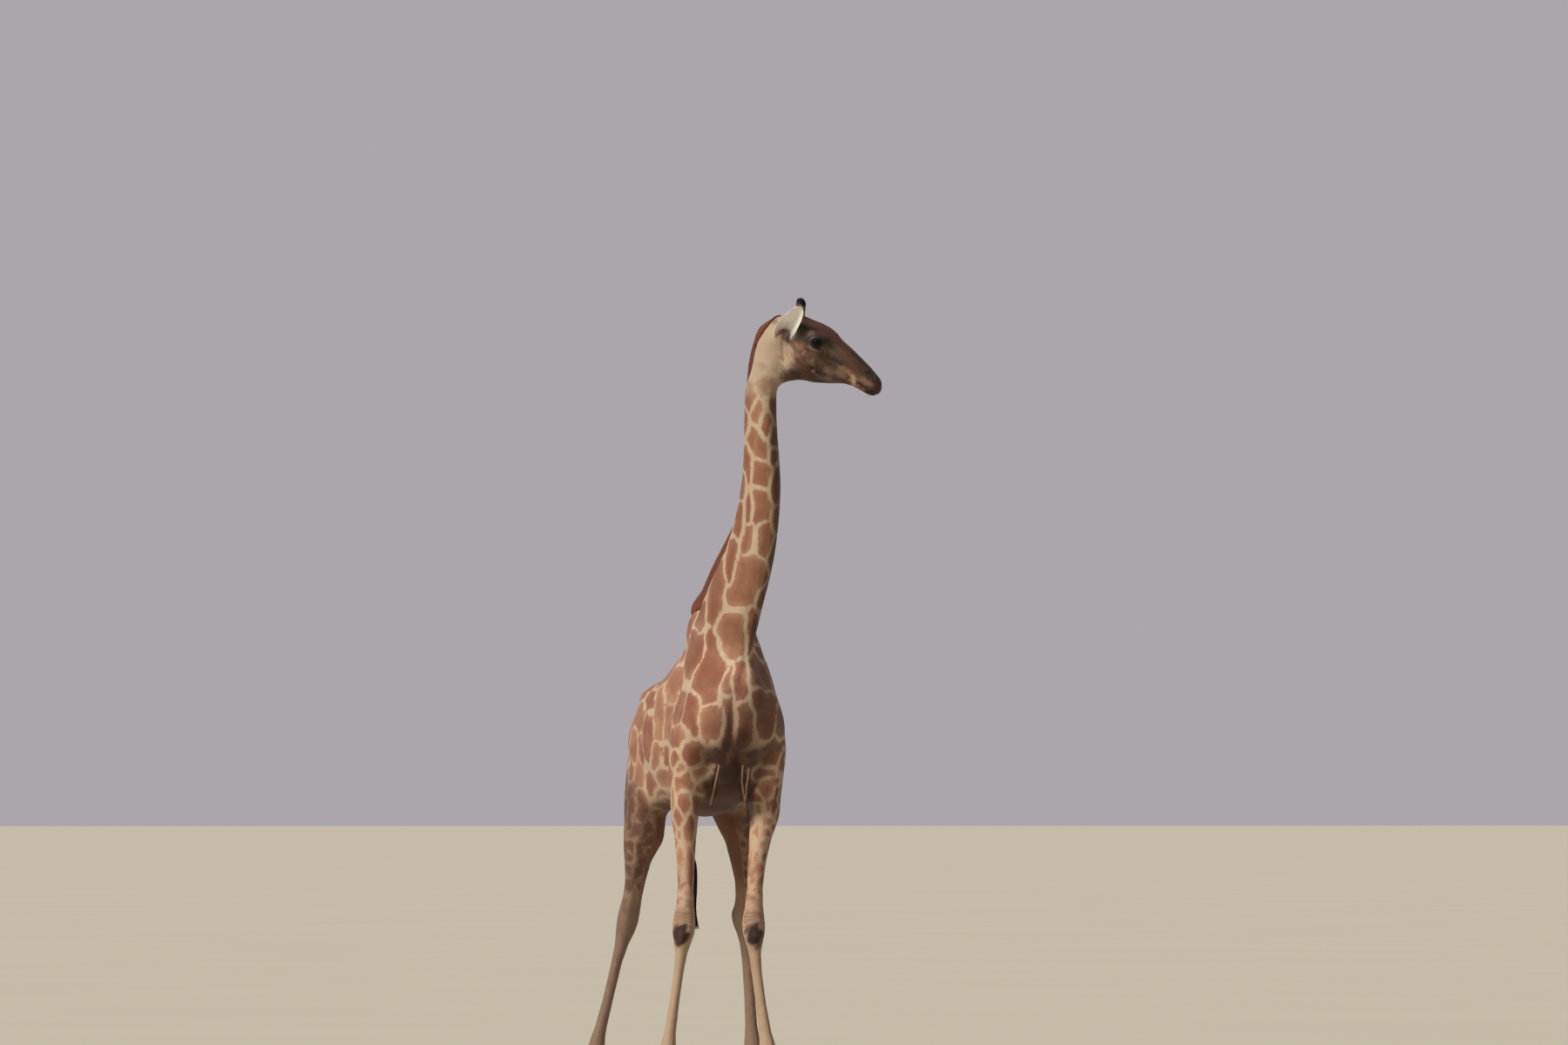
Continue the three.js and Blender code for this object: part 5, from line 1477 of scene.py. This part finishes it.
# A chart lays out one region of the hide in the unit square: (left, bottom, width, height).
def chart_of(region, points):
    """Where points lie on an unwrap of their region: round it, and along it."""
    if region in hide.lines:
        line = hide.lines[region]
        centre, _ = on_line(line, points[:, 2])
        round_it = np.arctan2(points[:, 0] - centre[:, 0], points[:, 1] - centre[:, 1])
        along = (points[:, 2] - line[0, 2]) / (line[-1, 2] - line[0, 2])
    elif region == "trunk":
        low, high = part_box("trunk")
        round_it = np.arctan2(points[:, 0] - GROUND[0], points[:, 2] - (low[2] + high[2]) / 2)
        along = (points[:, 1] - low[1]) / (high[1] - low[1])
    elif region == "head":
        f, l, u = in_head(points).T
        round_it, along = np.arctan2(l, u + 0.03 + 0.1 * f), (f + 0.06) / 0.72
    else:
        start, way = middle(region), unit(middle(region) - HEAD)
        side = unit(np.cross(way, UP))
        q = points - start
        round_it, along = np.arctan2(q @ side, q @ np.cross(way, side)), q @ way / 0.30 + 0.5
    return np.stack([(round_it / math.pi + 1) / 2, np.clip(along, 0, 1)], axis=-1)


COATS = {
    # piece: its regions with their charts, tufts to the square metre
    "coat_trunk": ({"trunk": (0, 0, 1, 1)}, 11200),
    "coat_neck": ({"neck": (0, 0, 1, 1)}, 22000),
    "coat_forelegs": ({"foreleg_left": (0, 0, 0.49, 1), "foreleg_right": (0.51, 0, 0.49, 1)}, 16000),
    "coat_hindlegs": ({"hindleg_left": (0, 0.1, 0.49, 0.9), "hindleg_right": (0.51, 0.1, 0.49, 0.9),
                       "tail": (0, 0, 1, 0.09)}, 14000),
    "coat_head": ({"head": (0, 0.22, 1, 0.78), "ear_left": (0, 0, 0.3, 0.2), "ear_right": (0.32, 0, 0.3, 0.2),
                   "ossicone_left": (0.64, 0, 0.17, 0.2), "ossicone_right": (0.83, 0, 0.17, 0.2)}, 72000),
}
ON_CHART = 0.003  # the size of each tuft on its chart
MARGIN = 0.002  # kept free round every chart
MOST_TUFTS = 48500  # in one piece
STRAY = 0.16  # how far tufts turn from the way the hair lies
RISE = (1.5, 5)  # how steeply they stand up from the skin, in degrees
TUFT_HALF_WIDTH, TUFT_THICKNESS = 0.10, 0.035  # as shares of the length


def hair_length(hide):
    length = np.full(len(hide.points), 0.018)
    legs = hide.part("foreleg", "hindleg")
    length += (0.012 - length) * legs * (1 - step(hide.place[:, 2], 1.0, 1.7))
    length += (0.015 - length) * hide.share["neck"]
    length += (0.0085 - length) * hide.part("head", "ossicone")
    length += (0.0045 - length) * hide.part("head") * step(hide.head[:, 0], 0.42, 0.56)
    return length + (0.011 - length) * hide.part("ear")


def bare_places(hide):
    """Where no hair grows: within the lids, nostrils and mouth, on the knees and by the hooves."""
    bare = np.zeros(len(hide.points), bool)
    for name, side in SIDES.items():
        bare |= np.linalg.norm(hide.points - middle(f"eye_{name}"), axis=1) < LID_OUTER + 0.004
        for line, reach in ((MOUTH, 0.006), (NOSTRIL, 0.009)):
            for p in mirrored(line, side):
                bare |= np.linalg.norm(hide.points - p, axis=1) < reach
    for across, up in KNEE_PADS:
        bare |= on_pad(hide, across, up) < 0.95
        creased = spot(hide.view, (across, up + 0.095), (0.05, 0.036))
        bare |= (creased > 0.35) & (hide.part("foreleg") > 0.5) & (hide.normal @ TOWARDS > 0)
    return bare | (hide.place[:, 2] < 0.094)


LENGTH, BARE = hair_length(hide), bare_places(hide)
OWNERS = hide.owner[hide.triangles[:, 0]]


def coat(name, charts, density):
    """The tufts of some regions, rooted in the hide and lying along it."""
    regions = list(charts)
    numbers = [REGIONS.index(r) for r in regions]
    mine = np.isin(OWNERS, numbers) & ~BARE[hide.triangles].any(axis=1)
    own = hide.triangles[mine]
    a, b, c = (hide.points[own[:, k]] for k in range(3))
    area = np.linalg.norm(np.cross(b - a, c - a), axis=1) / 2
    count = min(int(area.sum() * density), MOST_TUFTS)
    chosen = rng.choice(len(own), count, p=area / area.sum())
    corner = rng.random((count, 2))
    corner = np.where(corner.sum(axis=1, keepdims=True) > 1, 1 - corner, corner)
    weight = np.stack([1 - corner.sum(axis=1), corner[:, 0], corner[:, 1]], axis=-1)
    corners = own[chosen]

    def at_root(values):
        w = weight if values.ndim == 1 else weight[:, :, None]
        return np.sum(values[corners] * w, axis=1)

    root, outward = at_root(hide.points), unit(at_root(hide.normal))
    lie = unit(at_root(hide.lie) + STRAY * rng.normal(size=(count, 3)))
    lie = unit(lie - dot(lie, outward)[:, None] * outward)
    length = at_root(LENGTH) * rng.uniform(0.7, 1.25, count)
    rise = np.radians(rng.uniform(*RISE, count))[:, None]
    start = root - 0.03 * length[:, None] * outward
    tip = start + length[:, None] * (lie * np.cos(rise) + outward * np.sin(rise))
    across = unit(np.cross(lie, outward))
    points, triangles, _, each = locks(
        np.stack([start, tip], axis=1), across, outward,
        length[:, None] * TUFT_HALF_WIDTH, length[:, None] * TUFT_THICKNESS,
    )
    mesh = as_mesh(name, points, triangles)
    leaning = outward[:, None] + across[:, None] * np.array([0.22, -0.22, 0, 0])[:, None]
    mesh.normals_split_custom_set_from_vertices(unit(leaning).reshape(-1, 3))
    fields = {key: np.repeat(at_root(values), each, axis=0) for key, values in FIELDS.items()}
    tone = rng.uniform(0.94, 1.06, count)
    put_coat(mesh, {**fields, "shade": np.repeat(tone, each)})
    whose = np.array([REGIONS[k] for k in OWNERS[mine][chosen]])
    uv = np.zeros((count, 2))
    for region, (left, low, wide, high) in charts.items():
        its = whose == region
        size = [wide - 2 * MARGIN, high - 2 * MARGIN]
        uv[its] = chart_of(region, root[its]) * size + [left + MARGIN, low + MARGIN]
    shape = np.array([[-0.5, -0.5], [0.5, -0.5], [0.0, -0.1], [0.0, 0.5]]) * ON_CHART
    uv = (uv[:, None] + shape).reshape(-1, 2)
    mesh.uv_layers.new(name="OFBake").data.foreach_set("uv", uv[triangles.ravel()].astype(np.float32).ravel())
    return piece(name, mesh, short_coat)


hide_mesh = as_mesh("hide", hide.points, hide.triangles)
put_coat(hide_mesh, {**FIELDS, "shade": np.ones(len(hide.points))})
flesh_nodes = FLESH + [n for n in REGIONS if n.startswith(("ear", "ossicone"))]
piece("hide", hide_mesh, short_coat, replaces=flesh_nodes)
for name, (charts, density) in COATS.items():
    coat(name, charts, density)


# ---------- mane, tail hair, ossicone tufts, lashes ----------
def hair_finish(name, root, tip, roughness=0.62, horn=0.0):
    """Long hair: darker or lighter towards the tips, each lock a little different."""
    finish = Finish(name, Roughness=roughness, Specular_IOR_Level=0.2)
    along = finish.attribute("along")
    body = finish.mix(along, colour(*root), colour(*tip))
    body = finish.mix(finish.attribute("brown") * horn, body, colour(142, 98, 78))
    strand = finish.noise(finish.stretched(finish.place(), (300, 300, 60)), 1.0, 2.0)
    finish.set(Base_Color=finish.scaled(body, finish.attribute("shade") * (strand * 0.5 + 0.75)))
    finish.set(Normal=finish.bump(strand, 0.5, 0.001))
    return finish.material


mane_hair = hair_finish("mane_hair", (152, 96, 74), (120, 68, 52))
black_hair = hair_finish("black_hair", (46, 36, 32), (28, 23, 22), 0.5)


def hair_piece(name, lines, across, over, width, thick, finish, replaces=()):
    points, triangles, along, each = locks(lines, across, over, width, thick)
    mesh = as_mesh(name, points, triangles)
    put(mesh, "along", along)
    put(mesh, "shade", np.repeat(rng.uniform(0.75, 1.2, len(lines)), each))
    return piece(name, mesh, finish, replaces)


def brush(name, node, count, lower, finish):
    """Dense upright hair as high as a packed mane or tuft, round a core that closes it. Each hair
    grows from the hide near its tip, or near a place that lies lower by the given offset."""
    points, triangles = reshaped(*merged(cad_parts[node].data), "SUBSURF", levels=2, render_levels=2)
    a, b, c = (points[triangles[:, k]] for k in range(3))
    area = np.linalg.norm(np.cross(b - a, c - a), axis=1)
    chosen = rng.choice(len(triangles), count, p=area / area.sum())
    tips = np.einsum("nk,nkj->nj", rng.dirichlet((1, 1, 1), count), points[triangles[chosen]])
    roots = np.array(settle(tips + lower, hide.tree))
    height = np.linalg.norm(tips - roots, axis=1, keepdims=True)
    tips, roots, height = (v[height[:, 0] > 0.006] for v in (tips, roots, height))
    up_hair = (tips - roots) / height
    tips = tips + height * rng.normal(size=tips.shape) * 0.05
    tips = tips - up_hair * height * rng.uniform(0, 0.1, height.shape)
    bends = roots + (tips - roots) * 0.55 + height * rng.normal(size=tips.shape) * 0.03
    across = unit(np.cross(up_hair, rng.normal(size=tips.shape)))
    width = np.array([0.0016, 0.0013])
    lines = np.stack([roots - 0.003 * up_hair, bends, tips], axis=1)
    hairs = locks(lines, across, np.cross(up_hair, across), width, width * 0.8)
    core = (points - 0.005 * normals(points, triangles), triangles)
    mesh = as_mesh(name, *joined([hairs[:2], core]))
    put(mesh, "along", np.concatenate([hairs[2], np.full(len(points), 0.6)]))
    put(mesh, "brown", 1 - step(in_head(arrays(mesh)[0])[:, 2], 0.196, 0.210))
    shade = np.repeat(rng.uniform(0.85, 1.15, len(lines)), hairs[3])
    put(mesh, "shade", np.concatenate([shade, np.full(len(points), 0.8)]))
    return piece(name, mesh, finish, [node])


def make_tail_hair(count=1100, bends=7):
    """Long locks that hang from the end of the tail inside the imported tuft's outline."""
    low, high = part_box("tail_tuft")
    points, _ = merged(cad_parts["tail_tuft"].data)
    line = centre_line(points, np.ones(len(points), bool), 12)
    centre, _ = on_line(line, points[:, 2])
    out = np.linalg.norm(points - centre, axis=1)
    girths = [out[np.abs(points[:, 2] - p[2]) < 0.04].max() for p in line]
    tail_points, _ = merged(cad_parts["tail"].data)
    stem = centre_line(tail_points, tail_points[:, 2] < high[2] + 0.3, 5)
    line = np.vstack([line[:-1], stem])
    girths = girths[:-1] + [0.016] * len(stem)
    lines, sides, overs = [], [], []
    for k in range(count):
        top = high[2] + 0.10 * rng.random()
        foot = low[2] + (top - low[2]) * 0.6 * rng.random()
        turn, out = rng.uniform(0, 2 * math.pi), math.sqrt(rng.random()) * 0.92
        heights = np.linspace(top, foot, bends + 1)
        middle_line, _ = on_line(line, heights)
        girth = np.interp(heights, line[:, 2], girths) * out
        turns = turn + np.cumsum(rng.normal(size=bends + 1)) * 0.06
        offset = np.stack([np.cos(turns) * girth, np.sin(turns) * girth, 0 * girth], axis=-1)
        lines.append(middle_line + offset)
        side = unit(np.cross(UP, rng.normal(size=3)))
        sides.append(side)
        overs.append(np.cross(UP, side))
    width = np.array([0.0016, 0.0026, 0.0028, 0.0028, 0.0025, 0.0021, 0.0015])
    hair_piece("tail_locks", np.array(lines), np.array(sides), np.array(overs), width, width * 0.7,
               black_hair, ["tail_tuft"])


def ossicone_axis(side):
    return unit(on_head(0.043, side * 0.0635, 0.242) - on_head(0.104, side * 0.044, 0.096))


def make_lashes(side):
    """Long lashes on the upper lid and short ones on the lower."""
    nose, upward, outward = eye_axes(side)
    lines, sides, overs = [], [], []
    for upper, count, least, most in ((True, 56, 0.010, 0.020), (False, 26, 0.005, 0.009)):
        rim = lid_line(side, upper, EYE_RADIUS + 0.005, 41, grow=1.05)
        for k in range(count):
            s = rng.uniform(2, 38)
            root = rim[int(s)] + (rim[int(s) + 1] - rim[int(s)]) * (s % 1)
            slant = (s - 20) / 20 * 0.5
            fall = -0.25 if upper else -0.6
            way = unit(outward + slant * nose + fall * upward + 0.08 * rng.normal(size=3))
            length = rng.uniform(least, most)
            lines.append([root, root + way * length * 0.5, root + unit(way - 0.3 * upward) * length])
            sides.append(unit(np.cross(way, upward)))
            overs.append(np.cross(way, sides[-1]))
    width = np.array([0.0007, 0.0005])
    hair_piece(f"lashes_{side_name(side)}", np.array(lines), np.array(sides), np.array(overs), width, width,
               black_hair)


MANE_HAIRS, TUFT_HAIRS = 17000, 2600
brush("mane_locks", "mane", MANE_HAIRS, (0, 0, 0), mane_hair)
make_tail_hair()
horn_hair = hair_finish("horn_hair", (46, 36, 32), (28, 23, 22), 0.6, horn=1.0)
for name, side in SIDES.items():
    lower = -0.03 * ossicone_axis(side)
    brush(f"ossicone_hair_{name}", f"ossicone_tuft_{name}", TUFT_HAIRS, lower, horn_hair)
    make_lashes(side)


# ---------- eyes ----------
def eye_finish():
    """A wet, very dark brown eye with a wide level pupil."""
    finish = Finish("wet_eye", Roughness=0.25, Specular_IOR_Level=0.05,
                    Coat_Weight=0.12, Coat_Roughness=0.03)
    pupil, iris = finish.attribute("pupil"), finish.attribute("iris")
    fibre = finish.noise(finish.place(), 420.0, 3.0)
    brown = finish.mix(fibre, colour(27, 18, 14), colour(14, 10, 9))
    seen_iris = finish.mix(finish.between(pupil, 0.9, 1.05), colour(5, 5, 6), brown)
    finish.set(Base_Color=finish.mix(finish.between(iris, 0.95, 1.08), seen_iris, colour(22, 17, 15)))
    return finish.material


wet_eye = eye_finish()


def make_eye(name, side):
    """An eyeball with its bulge in front. Round the middles of pupil and iris, 1 is their edge."""
    points, triangles = ball((0, 0, 0), EYE_RADIUS)
    x, y, z = points.T / EYE_RADIUS
    bulge = 1 + 0.035 * step(z, 0.55, 0.95)
    placed = points * bulge[:, None] @ np.array(eye_axes(side)) + middle(f"eye_{name}")
    mesh = as_mesh(f"eyeball_{name}", placed, triangles)
    behind = np.where(z > 0, 0, 9)
    put(mesh, "pupil", np.hypot(x / 0.42, y / 0.24) + behind)
    put(mesh, "iris", np.hypot(x, y) / 0.72 + behind)
    bm = bmesh.new()
    bm.from_mesh(mesh)
    bmesh.ops.recalc_face_normals(bm, faces=bm.faces[:])
    bm.to_mesh(mesh)
    bm.free()
    piece(f"eyeball_{name}", mesh, wet_eye, [f"eye_{name}"])


for name, side in SIDES.items():
    make_eye(name, side)


# ---------- hooves ----------
def horn_finish():
    """Worn horn: growth rings, with paler dusty patches."""
    finish = Finish("worn_horn", Roughness=0.55)
    place = finish.place()
    rings = finish.noise(finish.stretched(place, (12, 12, 340)), 1.0, 3.0)
    grain = finish.noise(finish.stretched(place, (260, 260, 30)), 1.0, 3.0)
    body = finish.mix(rings, colour(58, 48, 42), colour(98, 82, 70))
    dust = finish.noise(place, 16.0, 4.0)
    finish.set(Base_Color=finish.mix(finish.between(dust, 0.45, 0.75), body, colour(142, 122, 100)))
    finish.set(Normal=finish.bump(rings * 0.7 + grain * 0.4, 0.6, 0.002))
    return finish.material


worn_horn = horn_finish()


def make_hoof(node):
    """A packed hoof with its wall rounded and its sole kept flat."""
    bm = bmesh.new()
    bm.from_mesh(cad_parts[node].data)
    bmesh.ops.remove_doubles(bm, verts=bm.verts[:], dist=1e-5)
    bmesh.ops.dissolve_limit(bm, angle_limit=math.radians(2), verts=bm.verts[:], edges=bm.edges[:])
    sharp = [e for e in bm.edges if len(e.link_faces) == 2 and e.calc_face_angle() > math.radians(32)]
    bmesh.ops.bevel(bm, geom=sharp, offset=0.0035, segments=2, affect="EDGES", clamp_overlap=True)
    bmesh.ops.triangulate(bm, faces=bm.faces[:])
    points, triangles = from_bmesh(bm)
    mesh = as_mesh(node + "_wall", points, triangles)
    mesh.set_sharp_from_angle(angle=math.radians(40))
    piece(node + "_wall", mesh, worn_horn, [node])


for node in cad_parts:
    if node.startswith("hoof"):
        make_hoof(node)


# ---------- studio ----------
def plain_finish(name, rgb, roughness=0.9):
    finish = Finish(name, Roughness=roughness)
    drift = finish.noise(finish.place(), 0.35, 2.0)
    pale = colour(*rgb)
    finish.set(Base_Color=finish.mix(drift, pale * 0.97, np.minimum(pale * 1.03, 1)))
    return finish.material


def make_floor():
    reach = 900
    points = np.array([(-reach, -reach, 0), (reach, -reach, 0), (reach, reach, 0), (-reach, reach, 0)], float)
    mesh = as_mesh("floor", points + GROUND * [1, 1, 0], np.array([(0, 1, 2), (0, 2, 3)]))
    mesh.materials.append(plain_finish("pale_floor", (216, 207, 186)))
    obj = bpy.data.objects.new("floor", mesh)
    bpy.context.scene.collection.objects.link(obj)


def make_light():
    """A broad key lamp from the upper left of the view, and an even sky that fills the shade."""
    key = bpy.data.objects.new("key", bpy.data.lights.new("key", "SUN"))
    key.data.energy = 3.05
    key.data.angle = math.radians(14)
    key.data.color = (1.0, 0.96, 0.90)
    key.rotation_euler = (math.radians(50), 0, VIEW + math.radians(-51))
    bpy.context.scene.collection.objects.link(key)
    world = bpy.data.worlds.new("studio")
    bpy.context.scene.world = world
    world.use_nodes = True
    sky = Nodes(world.node_tree)
    sky.tree.nodes.remove(sky.tree.nodes["Background"])
    fill = sky.node("ShaderNodeBackground", {}, (0.90, 0.94, 1.0), 0.20)
    shown = sky.node("ShaderNodeBackground", {}, colour(171, 166, 172), 1.0)
    camera_ray = sky.node("ShaderNodeLightPath", {}, output="Is Camera Ray")
    glossy_ray = sky.node("ShaderNodeLightPath", {}, output="Is Glossy Ray")
    direct = sky.node("ShaderNodeMath", dict(operation="MAXIMUM"), camera_ray, glossy_ray)
    mixed = sky.node("ShaderNodeMixShader", {}, direct, fill, shown)
    sky.feed(sky.tree.nodes["World Output"].inputs["Surface"], mixed)


make_floor()
make_light()
